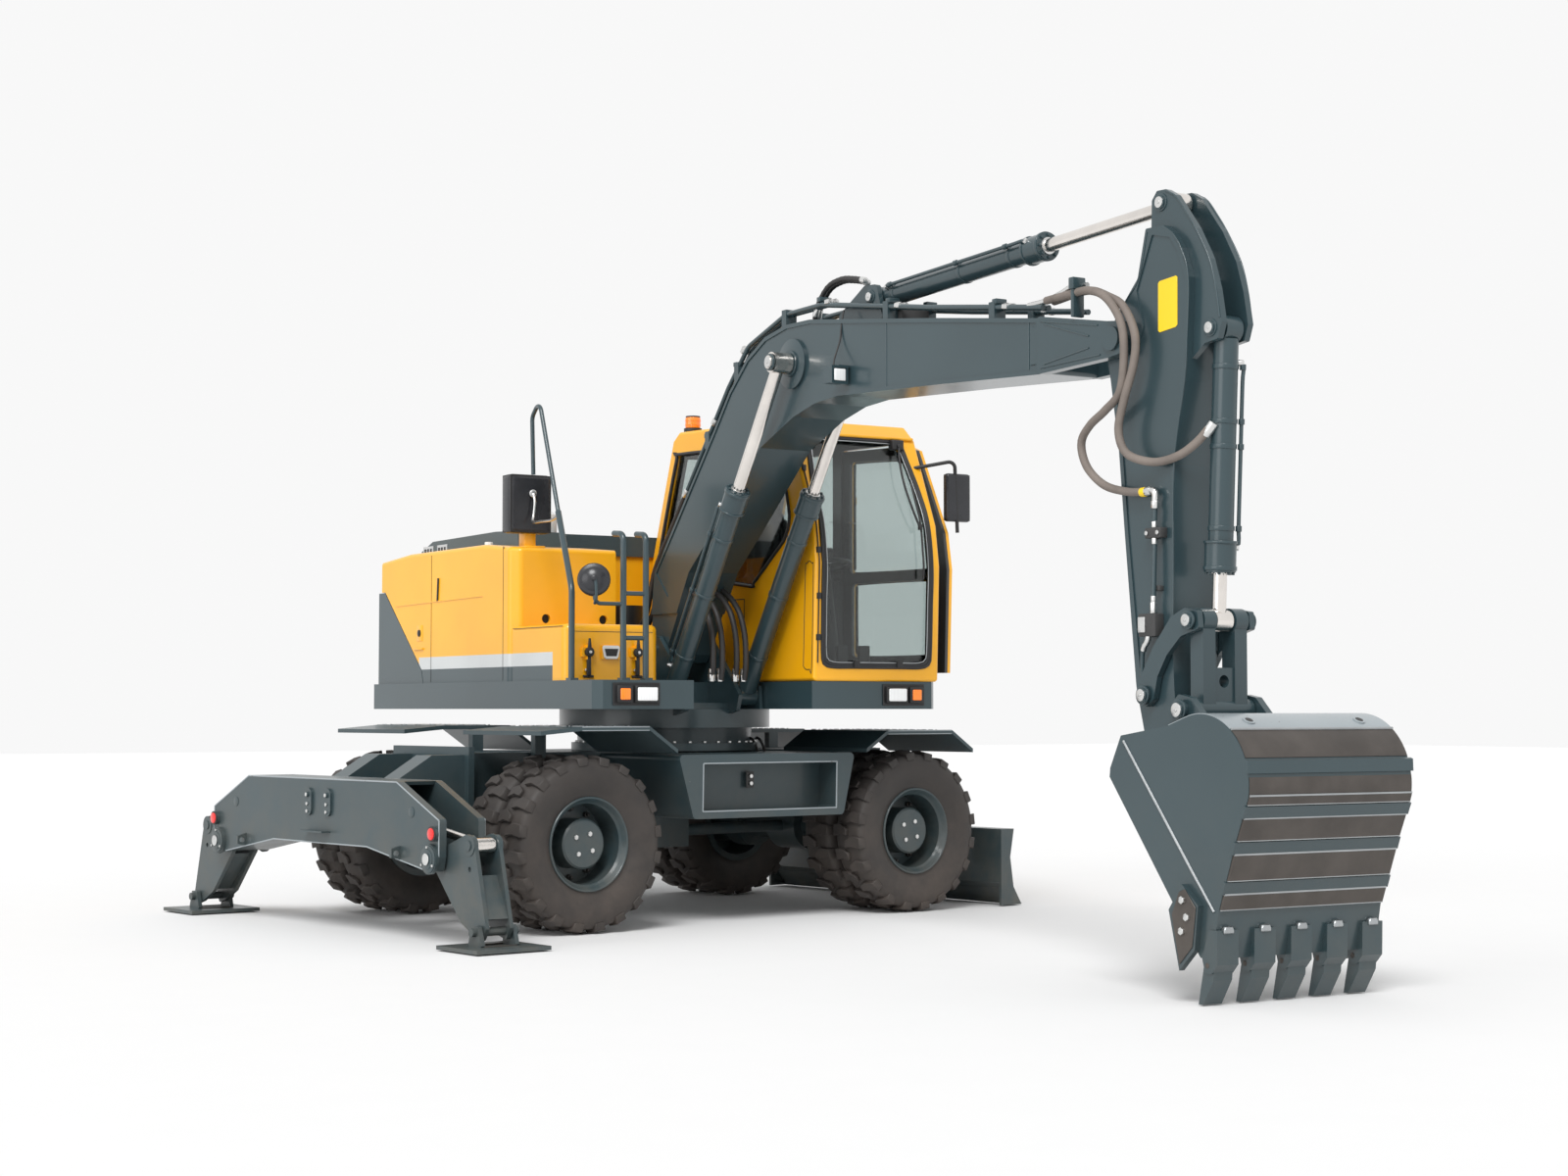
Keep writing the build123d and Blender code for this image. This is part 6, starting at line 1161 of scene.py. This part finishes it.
# Boom: weld seams, framed plate and ribs at the tip, light lens, valve block and top hoses
boomTrim = {"web": 0.173, "welds": ((3.02, 3.140, 3.500), (4.33, 3.085, 3.330)),
            "plate": ((4.345, 3.105), (4.430, 3.305))}
beads, plates = [], []
for side in (-1, 1):
    y = boomMiddle + side * boomTrim["web"]
    for x, low, high in boomTrim["welds"]:
        beads.append(addRod((x, y, low), (x, y, high), 0.0045, 8))
    (x1, z1), (x2, z2) = boomTrim["plate"]
    plates.append(addPlate([(x1, z1), (x1, z2), (x2, z2 - 0.012), (x2, z1 - 0.002)], "Y", y, y + side * 0.006,
                           0.002))
    for a, b in (((4.47, 3.315), (4.93, 3.235)), ((4.47, 3.075), (4.95, 3.085)),
                 ((4.50, 3.300), (4.86, 3.190)), ((4.50, 3.092), (4.86, 3.130))):
        beads.append(addRod((a[0], boomMiddle + side * 0.2055, a[1]),
                            (b[0], boomMiddle + side * 0.2055, b[1]), 0.0045, 8))
    ring = addRod((2.035, boomMiddle + side * 0.186, 3.385), (2.035, boomMiddle + side * 0.191, 3.385), 0.150,
                  64, 0.002)
    beads.append(ring)
finishPiece(beads, "boom_beads", "darkPaint", "boom")
finishPiece(plates, "boom_plates", "darkPaint", "boom")
light = [addBlock((2.6555, -0.378, 3.212), (2.664, -0.302, 3.280), 0.006, 3)]
finishPiece(light, "work_lens", "clearLens", "boom")
wire = addHose([(2.60, -0.345, 3.29), (2.585, -0.330, 3.34), (2.57, -0.300, 3.40), (2.565, -0.275, 3.47),
                (2.56, -0.262, 3.56), (2.55, -0.240, 3.64)], 0.005, 0.02)
finishPiece(wire, "work_wire", "hoseRubber", "boom", 60)
topTrim = {"fittings": ((0.98, 3.03), (1.34, 3.44), (2.30, 3.712), (3.02, 3.605), (4.02, 3.460)),
           "across": (-0.150, -0.110, 0.110, 0.150)}
nuts, straps = [], []
for x, z in topTrim["fittings"]:
    slope = -0.16 if x > 2.6 else (0.0 if x > 2.0 else 1.16)
    lean = Vector((1, 0, slope)).normalized() * 0.022
    for across in topTrim["across"]:
        y = boomMiddle + across
        centre = Vector((x + 0.09, y, z + 0.09 * slope))
        nuts.append(addRod(centre - lean, centre + lean, 0.0215, 6, 0.002))
    for side in (-1, 1):
        straps.append(addBlock((x - 0.020, boomMiddle + side * 0.130 - 0.036, z + 0.012),
                               (x + 0.020, boomMiddle + side * 0.130 + 0.036, z + 0.040), 0.004))
finishPiece(nuts, "pipe_nuts", "brightSteel", "boom")
finishPiece(straps, "pipe_straps", "darkPaint", "boom")
valve = [addBlock((2.86, -0.185, 3.500), (3.06, 0.005, 3.588), 0.006),
         addRod((2.80, -0.14, 3.562), (2.88, -0.14, 3.562), 0.022, 20, 0.004),
         addRod((2.80, -0.04, 3.562), (2.88, -0.04, 3.562), 0.022, 20, 0.004)]
finishPiece(valve, "boom_valve", "ironBlock", "boom")
ends = [addRod((2.91, -0.194, 3.562), (2.91, -0.183, 3.562), 0.016, 6, 0.001),
        addRod((3.01, -0.194, 3.562), (3.01, -0.183, 3.562), 0.016, 6, 0.001)]
finishPiece(ends, "boom_valve_ends", "brightSteel", "boom")
loops = []
for shift in (0.0, 0.055):
    loops.append(addHose([(2.12 + shift, boomMiddle - 0.055 - shift, 3.640),
                          (2.17 + shift, boomMiddle - 0.055 - shift, 3.735),
                          (2.27 + shift, boomMiddle - 0.055 - shift, 3.815),
                          (2.41 + shift, boomMiddle - 0.055 - shift, 3.838),
                          (2.55 + shift, boomMiddle - 0.06 - shift, 3.820),
                          (2.68 + shift, boomMiddle - 0.07 - shift, 3.790)], 0.015, 0.02, 0.10))
finishPiece(loops, "boom_loops", "hoseRubber", "boom", 60)
collars = []
for shift in (0.0, 0.055):
    y = boomMiddle - 0.055 - shift
    collars.append(addRod((2.125 + shift, y, 3.655), (2.150 + shift, y, 3.708), 0.019, 16, 0.003))
    collars.append(addRod((2.640 + shift, y - 0.012, 3.800), (2.685 + shift, y - 0.015, 3.789), 0.019, 16,
                          0.003))
finishPiece(collars, "boom_loop_ends", "brightSteel", "boom")
pipes = [addHose([(4.30, -0.24, 3.425), (4.45, -0.24, 3.43), (4.58, -0.245, 3.450), (4.68, -0.25, 3.470),
                  (4.80, -0.25, 3.460)], 0.014, 0.02)]
finishPiece(pipes, "tip_pipe", "brightSteel", "boom", 60)
bracket = [addBlock((4.74, -0.315, 3.30), (4.765, -0.246, 3.50), 0.004),
           addBlock((4.735, -0.325, 3.44), (4.775, -0.244, 3.50), 0.005)]
finishPiece(bracket, "tip_bracket", "darkPaint", "boom")
print("boom trim done")

# Barrels: clamp bands, gland bolts, side pipes with fittings
barrels = {
    "boom_right": {"base": (0.740, 1.420), "eye": (2.035, 3.385), "y": -0.360, "radius": 0.062,
                   "gland": 0.075, "length": 1.490,
                   "bands": (0.30, 0.75, 1.15), "body": "boom_barrels", "pipe": (-1, 0.2, 1.36)},
    "boom_left": {"base": (0.740, 1.420), "eye": (2.035, 3.385), "y": 0.180, "radius": 0.062, "gland": 0.075,
                  "length": 1.490,
                  "bands": (0.30, 0.75, 1.15), "body": "boom_barrels", "pipe": (1, 0.2, 1.36)},
    "arm": {"base": (2.746, 3.695), "eye": (5.292, 3.799), "y": -0.090, "radius": 0.060, "gland": 0.074,
            "length": 1.530,
            "bands": (0.16, 0.80, 1.25), "body": "arm_barrel", "pipe": (-1, 0.12, 1.42)},
    "bucket": {"base": (5.643, 3.139), "eye": (5.570, 1.750), "y": -0.090, "radius": 0.060, "gland": 0.076,
               "length": 1.160,
               "bands": (0.18, 0.44, 0.56, 0.95), "body": "bucket_barrel", "pipe": (1, 0.16, 1.04)},
}
for name, barrel in barrels.items():
    base = Vector((barrel["base"][0], barrel["y"], barrel["base"][1]))
    eye = Vector((barrel["eye"][0], barrel["y"], barrel["eye"][1]))
    line = (eye - base).normalized()
    over = Vector((-line.z, 0, line.x))
    bands, fittings = [], []
    for at in barrel["bands"]:
        bands.append(addRod(base + line * (at - 0.012), base + line * (at + 0.012), barrel["radius"] + 0.004,
                            40, 0.002))
    for at, deep, extra in ((barrel["length"] - 0.150, 0.014, 0.006),
                            (barrel["length"] - 0.030, 0.022, 0.005)):
        bands.append(addRod(base + line * at, base + line * (at + deep), barrel["gland"] + extra, 40, 0.003))
    for i in range(8):
        angle = 2 * math.pi * i / 8
        out = (over * math.cos(angle) + Vector((0, 1, 0)) * math.sin(angle)) * (barrel["gland"] - 0.014)
        end = base + line * barrel["length"]
        bands.append(addRod(end + out, end + out + line * 0.012, 0.0085, 6, 0.001))
    side, near, far = barrel["pipe"]
    lift = over * 0.045 + Vector((0, side * (barrel["radius"] + 0.010), 0))
    start, end = base + line * near + lift, base + line * far + lift
    bands.append(addHose([base + line * near + lift * 0.72, start + line * 0.02 + lift * 0.03,
                          start + line * 0.10, base + line * (near + far) / 2 + lift,
                          end - line * 0.10, end - line * 0.02 + lift * 0.03, end - lift * 0.28], 0.010,
                          0.025))
    for at in barrel["bands"]:
        spot = base + line * at + lift
        bands.append(addRod(spot - line * 0.014, spot + line * 0.014, 0.0155, 14, 0.002))
    fittings.append(addRod(start - lift * 0.30, start + lift * 0.04, 0.0165, 6, 0.002))
    fittings.append(addRod(end - lift * 0.30, end + lift * 0.04, 0.0165, 6, 0.002))
    wiper = base + line * barrel["length"]
    fittings.append(addRod(wiper, wiper + line * 0.006, barrel["gland"] * 0.62, 36, 0.002))
    finishPiece(bands, "bands_" + name, "darkPaint", barrel["body"], 45)
    finishPiece(fittings, "fittings_" + name, "brightSteel", barrel["body"])
print("barrel trim done")

# Arm: blank sign, edge beads, pipes and valve blocks down its side
armTrim = {"web": -0.223, "sign": ((5.305, 3.155), (5.445, 3.415))}
(x1, z1), (x2, z2) = armTrim["sign"]
sign = addPlate([(x1, z1 + 0.01), (x1 + 0.01, z1), (x2 - 0.012, z1 + 0.012), (x2, z1 + 0.022),
                 (x2 + 0.002, z2 - 0.008), (x2 - 0.008, z2), (x1 + 0.012, z2 - 0.010),
                 (x1 + 0.002, z2 - 0.02)],
                "Y", armTrim["web"] - 0.0025, armTrim["web"] + 0.001, 0.0005)
finishPiece(sign, "arm_sign", "signPaint", "arm")
beads = []
for side in (-1, 1):
    y = boomMiddle + side * 0.1405
    for route in ([(4.960, 3.110), (4.985, 3.220), (5.060, 3.330), (5.170, 3.445), (5.232, 3.660)],
                  [(5.430, 3.615), (5.480, 3.545), (5.533, 3.395), (5.520, 3.100), (5.499, 2.900),
                   (5.420, 2.505), (5.408, 2.010), (5.401, 1.610)]):
        beads.append(addHose([(x, y, z) for x, z in route], 0.0045, 0.03))
    y = boomMiddle + side * 0.1005
    beads.append(addHose([(x, y, z) for x,
                          z in ((5.330, 3.850), (5.400, 3.812), (5.470, 3.730), (5.545, 3.628),
                                (5.638, 3.470), (5.684, 3.320), (5.708, 3.180))], 0.005, 0.03))
finishPiece(beads, "arm_beads", "darkPaint", "arm", 60)
blocks = [addBlock((5.245, -0.268, 2.155), (5.360, -0.222, 2.205), 0.004),
          addBlock((5.205, -0.280, 1.680), (5.330, -0.222, 1.790), 0.005),
          addBlock((5.275, -0.250, 1.90), (5.330, -0.220, 1.925), 0.003),
          addBlock((5.285, -0.250, 1.48), (5.33, -0.220, 1.505), 0.003)]
finishPiece(blocks, "arm_blocks", "ironBlock", "arm")
silver = [addRod((5.305, -0.256, 2.205), (5.305, -0.256, 2.235), 0.017, 6, 0.002),
          addRod((5.305, -0.256, 2.125), (5.305, -0.256, 2.155), 0.017, 6, 0.002),
          addRod((5.262, -0.2685, 2.18), (5.262, -0.276, 2.18), 0.012, 6, 0.001),
          addRod((5.342, -0.2685, 2.18), (5.342, -0.276, 2.18), 0.012, 6, 0.001),
          addRod((5.300, -0.262, 1.790), (5.300, -0.262, 1.845), 0.019, 6, 0.003),
          addRod((5.300, -0.262, 1.845), (5.300, -0.262, 1.875), 0.014, 16, 0.002),
          addBlock((5.210, -0.288, 1.700), (5.262, -0.278, 1.775), 0.003),
          addHose([(5.262, -0.262, 1.690), (5.255, -0.264, 1.655), (5.235, -0.264, 1.635),
                   (5.222, -0.262, 1.612)], 0.015, 0.015),
          addHose([(5.265, -0.256, 2.388), (5.300, -0.258, 2.386), (5.314, -0.258, 2.366),
                   (5.312, -0.257, 2.330)], 0.0175, 0.012),
          addRod((5.312, -0.257, 2.335), (5.309, -0.256, 2.298), 0.022, 6, 0.003)]
finishPiece(silver, "arm_fittings", "brightSteel", "arm", 45)
pipes = [addRod((5.309, -0.256, 2.30), (5.305, -0.256, 2.232), 0.012, 16),
         addRod((5.305, -0.256, 2.13), (5.300, -0.262, 1.87), 0.012, 16),
         addHose([(5.222, -0.262, 1.615), (5.212, -0.260, 1.585), (5.208, -0.258, 1.54),
                  (5.205, -0.256, 1.48)], 0.011, 0.02)]
finishPiece(pipes, "arm_pipes", "darkPaint", "arm", 60)
mark = addRod((5.212, -0.2575, 2.3825), (5.244, -0.2565, 2.3835), 0.0232, 24, 0.002)
finishPiece(mark, "hose_mark", "signPaint", "arm")
sleeve = [addRod((5.244, -0.2560, 2.3840), (5.282, -0.2560, 2.3880), 0.0225, 24, 0.003),
          addRod((5.585, -0.178, 2.630), (5.628, -0.160, 2.690), 0.025, 24, 0.003)]
finishPiece(sleeve, "hose_sleeves", "brightSteel", "arm")
print("arm trim done")

# Bucket: plates round its back between the wear strips, holes, teeth caps and side cutters
bucketTrim = {
    "half": 0.500, "heel": (5.9983, 0.9909), "heelRadius": 0.3168,
    "rows": ((0.4380, 0.5050), (0.5700, 0.6850), (0.7500, 0.8470), (0.9100, 0.9480)),
}


def bucketBack(height):
    # place on the straight part of the back for a height
    line = [(6.110, 0.422), (6.232, 0.753), (6.311, 0.940)]
    for (x1, z1), (x2, z2) in zip(line, line[1:]):
        if height <= z2:
            return x1 + (x2 - x1) * (height - z1) / (z2 - z1)
    return line[-1][0]


def heelPoint(angle, lift):
    return (bucketTrim["heel"][0] + (bucketTrim["heelRadius"] + lift) * math.cos(angle),
            bucketTrim["heel"][1] + (bucketTrim["heelRadius"] + lift) * math.sin(angle))


low, high = boomMiddle - bucketTrim["half"], boomMiddle + bucketTrim["half"]
worn, beads = [], []
for bottom, top in bucketTrim["rows"]:
    lift = 0.011
    plate = [(bucketBack(bottom) - 0.004, bottom), (bucketBack(bottom) + lift, bottom - 0.004),
             (bucketBack(top) + lift, top - 0.004), (bucketBack(top) - 0.004, top)]
    worn.append(addPlate(plate, "Y", low + 0.003, high - 0.003, 0.002))
    for height in (bottom - 0.002, top):
        beads.append(addRod((bucketBack(height) + 0.007, low + 0.004, height),
                            (bucketBack(height) + 0.007, high - 0.004, height), 0.0055, 8))
for first, last in ((-8, 8), (23, 50)):
    arc = [math.radians(a) for a in range(first, last + 1, 3)]
    sheet = [heelPoint(a, 0.0038) for a in arc] + [heelPoint(a, -0.002) for a in reversed(arc)]
    worn.append(addPlate(sheet, "Y", low + 0.003, high - 0.003, 0))
finishPiece(worn, "bucket_worn", "wornSteel", "bucket", 30)
arc = [math.radians(a) for a in range(52, 109, 4)]
sheet = [heelPoint(a, 0.004) for a in arc] + [(5.780, 1.2585)] + [(5.780, 1.2540)] + [heelPoint(a,
        -0.002) for a in reversed(arc)]
crown = addPlate(sheet, "Y", low + 0.002, high - 0.002, 0)
finishPiece(crown, "bucket_crown", "greyPaint", "bucket", 40)
x, z = heelPoint(math.radians(51), 0.006)
beads.append(addRod((x, low + 0.004, z), (x, high - 0.004, z), 0.0065, 8))
for side in (-1, 1):
    y = boomMiddle + side * 0.502
    beads.append(addRod((5.465, y, 1.181), (5.972, y, 0.560), 0.0065, 8))
    beads.append(addRod((5.972, y, 0.560), (6.085, y, 0.425), 0.0065, 8))
finishPiece(beads, "bucket_beads", "wornEdge", "bucket", 40)
# Rings on the back, each with a black disc inside that is painted shade for its hole
rings, holeShade = [], []
for y in (boomMiddle - 0.34, boomMiddle + 0.34):
    x, z = heelPoint(math.radians(63), 0.004)
    out = Vector((math.cos(math.radians(63)), 0, math.sin(math.radians(63))))
    spot = Vector((x, y, z))
    rings.append(addRod(spot - out * 0.002, spot + out * 0.006, 0.030, 28, 0.003))
    holeShade.append(addRod(spot + out * 0.004, spot + out * 0.0068, 0.019, 24))
finishPiece(rings, "bucket_rings", "greyPaint", "bucket")
finishPiece(holeShade, "bucket_hole_shade", "blackPlastic", "bucket")
caps, bolts = [], []
pitch = (1.000 - 0.110) / 4
for i in range(5):
    y = boomMiddle - 0.5 + 0.055 + i * pitch
    caps.append(addPlate([(y - 0.030, 0.345), (y - 0.022, 0.362), (y + 0.022, 0.362), (y + 0.030, 0.345),
                          (y + 0.030, 0.330), (y - 0.030, 0.330)], "X", 6.095, 6.122, 0.004))
    bolts.append(addRod((6.045, y - 0.066, 0.185), (6.045, y + 0.066, 0.185), 0.013, 14, 0.002))
finishPiece(caps, "teeth_caps", "wornEdge", "bucket")
finishPiece(bolts, "teeth_pins", "wornSteel", "bucket")
cutters, cutterBolts = [], []
for side in (-1, 1):
    y = boomMiddle + side * 0.530
    cutters.append(addPlate([(5.885, 0.505), (5.925, 0.520), (5.998, 0.440), (5.972, 0.262), (5.885, 0.178),
                             (5.835, 0.400)], "Y", y, y + side * 0.006, 0.003))
    for x, z in ((5.915, 0.470), (5.945, 0.395), (5.910, 0.330)):
        cutterBolts.append(addRod((x, y, z), (x, y + side * 0.020, z), 0.019, 6, 0.003))
finishPiece(cutters, "cutter_plates", "wornSteel", "bucket")
finishPiece(cutterBolts, "cutter_bolts", "brightSteel", "bucket")
print("bucket trim done")

# Hoses at the boom's foot: up from the deck to its underside, and from its pipes down to the valve block
footHose = {
    "front": {"across": (-0.212, -0.152, -0.040, 0.020), "radius": 0.018,
              "route": ((0.985, 1.515), (1.005, 1.62), (0.995, 1.78), (0.935, 1.93), (0.83, 2.03),
                        (0.70, 2.10)),
              "start": (0.98, -0.09, 1.60), "end": (0.78, -0.09, 2.05)},
    "rear": {"across": (-0.240, -0.200, 0.020, 0.060), "radius": 0.017,
             "route": ((0.715, 2.718), (0.62, 2.607), (0.50, 2.470), (0.38, 2.340), (0.285, 2.210),
                       (0.235, 2.080),
                       (0.185, 1.960), (0.095, 1.865), (-0.02, 1.800), (-0.140, 1.760)),
             "start": (-0.05, -0.09, 1.80), "end": (0.62, -0.09, 2.60)},
}
for name, hose in footHose.items():
    runs = []
    for count, y in enumerate(hose["across"]):
        lean = 0.012 * (count % 2)
        runs.append(addHose([(x + lean, y, z) for x, z in hose["route"]], hose["radius"], 0.025, 0.08))
    made = finishPiece(runs, "foot_hoses_" + name, "hoseRubber", None, 60)
    made.parent = None
    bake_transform(made)
ends, nuts = [], []
for y in footHose["front"]["across"]:
    ends.append(addRod((0.985, y, 1.504), (0.988, y, 1.548), 0.025, 6, 0.003))
    ends.append(addRod((0.988, y, 1.548), (0.992, y, 1.585), 0.022, 20, 0.003))
finishPiece(ends, "foot_fittings", "brightSteel", "upper")
for y in footHose["rear"]["across"]:
    nuts.append(addRod((0.690, y, 2.689), (0.727, y, 2.731), 0.022, 6, 0.003))
finishPiece(nuts, "foot_nuts", "brightSteel", "boom")
print("foot hoses done")

# Hoses over the arm's pivot, and the loop down to the arm's pipe

armHose = {
    "radius": 0.021,
    "overA": [(4.45, -0.24, 3.43), (4.70, -0.28, 3.425), (4.88, -0.31, 3.415), (5.03, -0.32, 3.355),
              (5.14, -0.32, 3.216),
              (5.16, -0.32, 3.05), (5.12, -0.315, 2.88), (5.00, -0.31, 2.80), (4.87, -0.30, 2.74),
              (4.79, -0.29, 2.66),
              (4.82, -0.28, 2.54), (4.94, -0.27, 2.44), (5.10, -0.26, 2.395), (5.25, -0.255, 2.382)],
    "overB": [(4.45, -0.19, 3.43), (4.80, -0.25, 3.43), (5.00, -0.28, 3.37), (5.125, -0.29, 3.30),
              (5.213, -0.295, 3.158),
              (5.211, -0.30, 3.015), (5.143, -0.31, 2.83), (5.104, -0.31, 2.69), (5.155, -0.30, 2.574),
              (5.315, -0.27, 2.522), (5.45, -0.235, 2.54), (5.55, -0.20, 2.60), (5.62, -0.165, 2.68)],
}
for label in ("overA", "overB"):
    hose = addHose(armHose[label], armHose["radius"], 0.02)
    made = finishPiece(hose, "hose_" + label, "hoseSleeve", None, 60)
    made.parent = None
    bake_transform(made)
print("arm hoses done")

# Floor, lights and camera

studio = {"floor": 0.86, "world": 0.62, "key": 2.1, "rim": 0.7}
deselectAll()
bpy.ops.mesh.primitive_plane_add(size=120, location=(0, 0, 0))
floor = bpy.context.object
floor.name = "floor"
applyPlace(floor)
floorFinish, tree, shader, spot = newMaterial("floorPaint")
shade = addNode(tree, "ShaderNodeTexNoise", {"Vector": spot, "Scale": 3.0, "Detail": 3.0})
tree.links.new(mixColour(tree, shade.outputs["Fac"], (studio["floor"],) * 3 + (1,),
                         (studio["floor"] * 0.985,) * 3 + (1,)),
               shader.inputs["Base Color"])
shader.inputs["Roughness"].default_value = 0.9
floor.data.materials.append(floorFinish)

world = bpy.data.worlds.new("studioWorld")
bpy.context.scene.world = world
world.use_nodes = True
tree = world.node_tree
back = tree.nodes["Background"]
path = addNode(tree, "ShaderNodeLightPath")
seen = mathNode(tree, "MAXIMUM", path.outputs["Is Camera Ray"], path.outputs["Is Glossy Ray"])
seen = mathNode(tree, "MAXIMUM", seen, path.outputs["Is Transmission Ray"])
strength = addNode(tree, "ShaderNodeMapRange", {"Value": seen, "To Min": studio["world"], "To Max": 0.94})
tree.links.new(strength.outputs[0], back.inputs["Strength"])
back.inputs["Color"].default_value = (1, 1, 1, 1)


def addSun(name, towards, power, spread):
    deselectAll()
    bpy.ops.object.light_add(type="SUN", location=(0, 0, 8))
    lamp = bpy.context.object
    lamp.name = name
    lamp.rotation_euler = Vector(towards).to_track_quat("-Z", "Y").to_euler()
    lamp.data.energy = power
    lamp.data.angle = math.radians(spread)


addSun("keyLight", (-0.55, 0.50, -0.85), studio["key"], 25)
addSun("sideLight", (-0.15, 1.0, -0.25), studio["rim"], 40)

view = {"place": (14.5317, -8.1113, 1.3305), "look": (-0.84783, 0.52803, 0.04857), "lens": 57.107}
bpy.ops.object.camera_add(location=view["place"],
                          rotation=Vector(view["look"]).to_track_quat("-Z", "Y").to_euler())
camera = bpy.context.object
camera.data.lens = view["lens"]
camera.data.sensor_width = 36
camera.data.clip_end = 200
bpy.context.scene.camera = camera
bpy.context.scene.view_settings.view_transform = "Standard"
print("stage set")
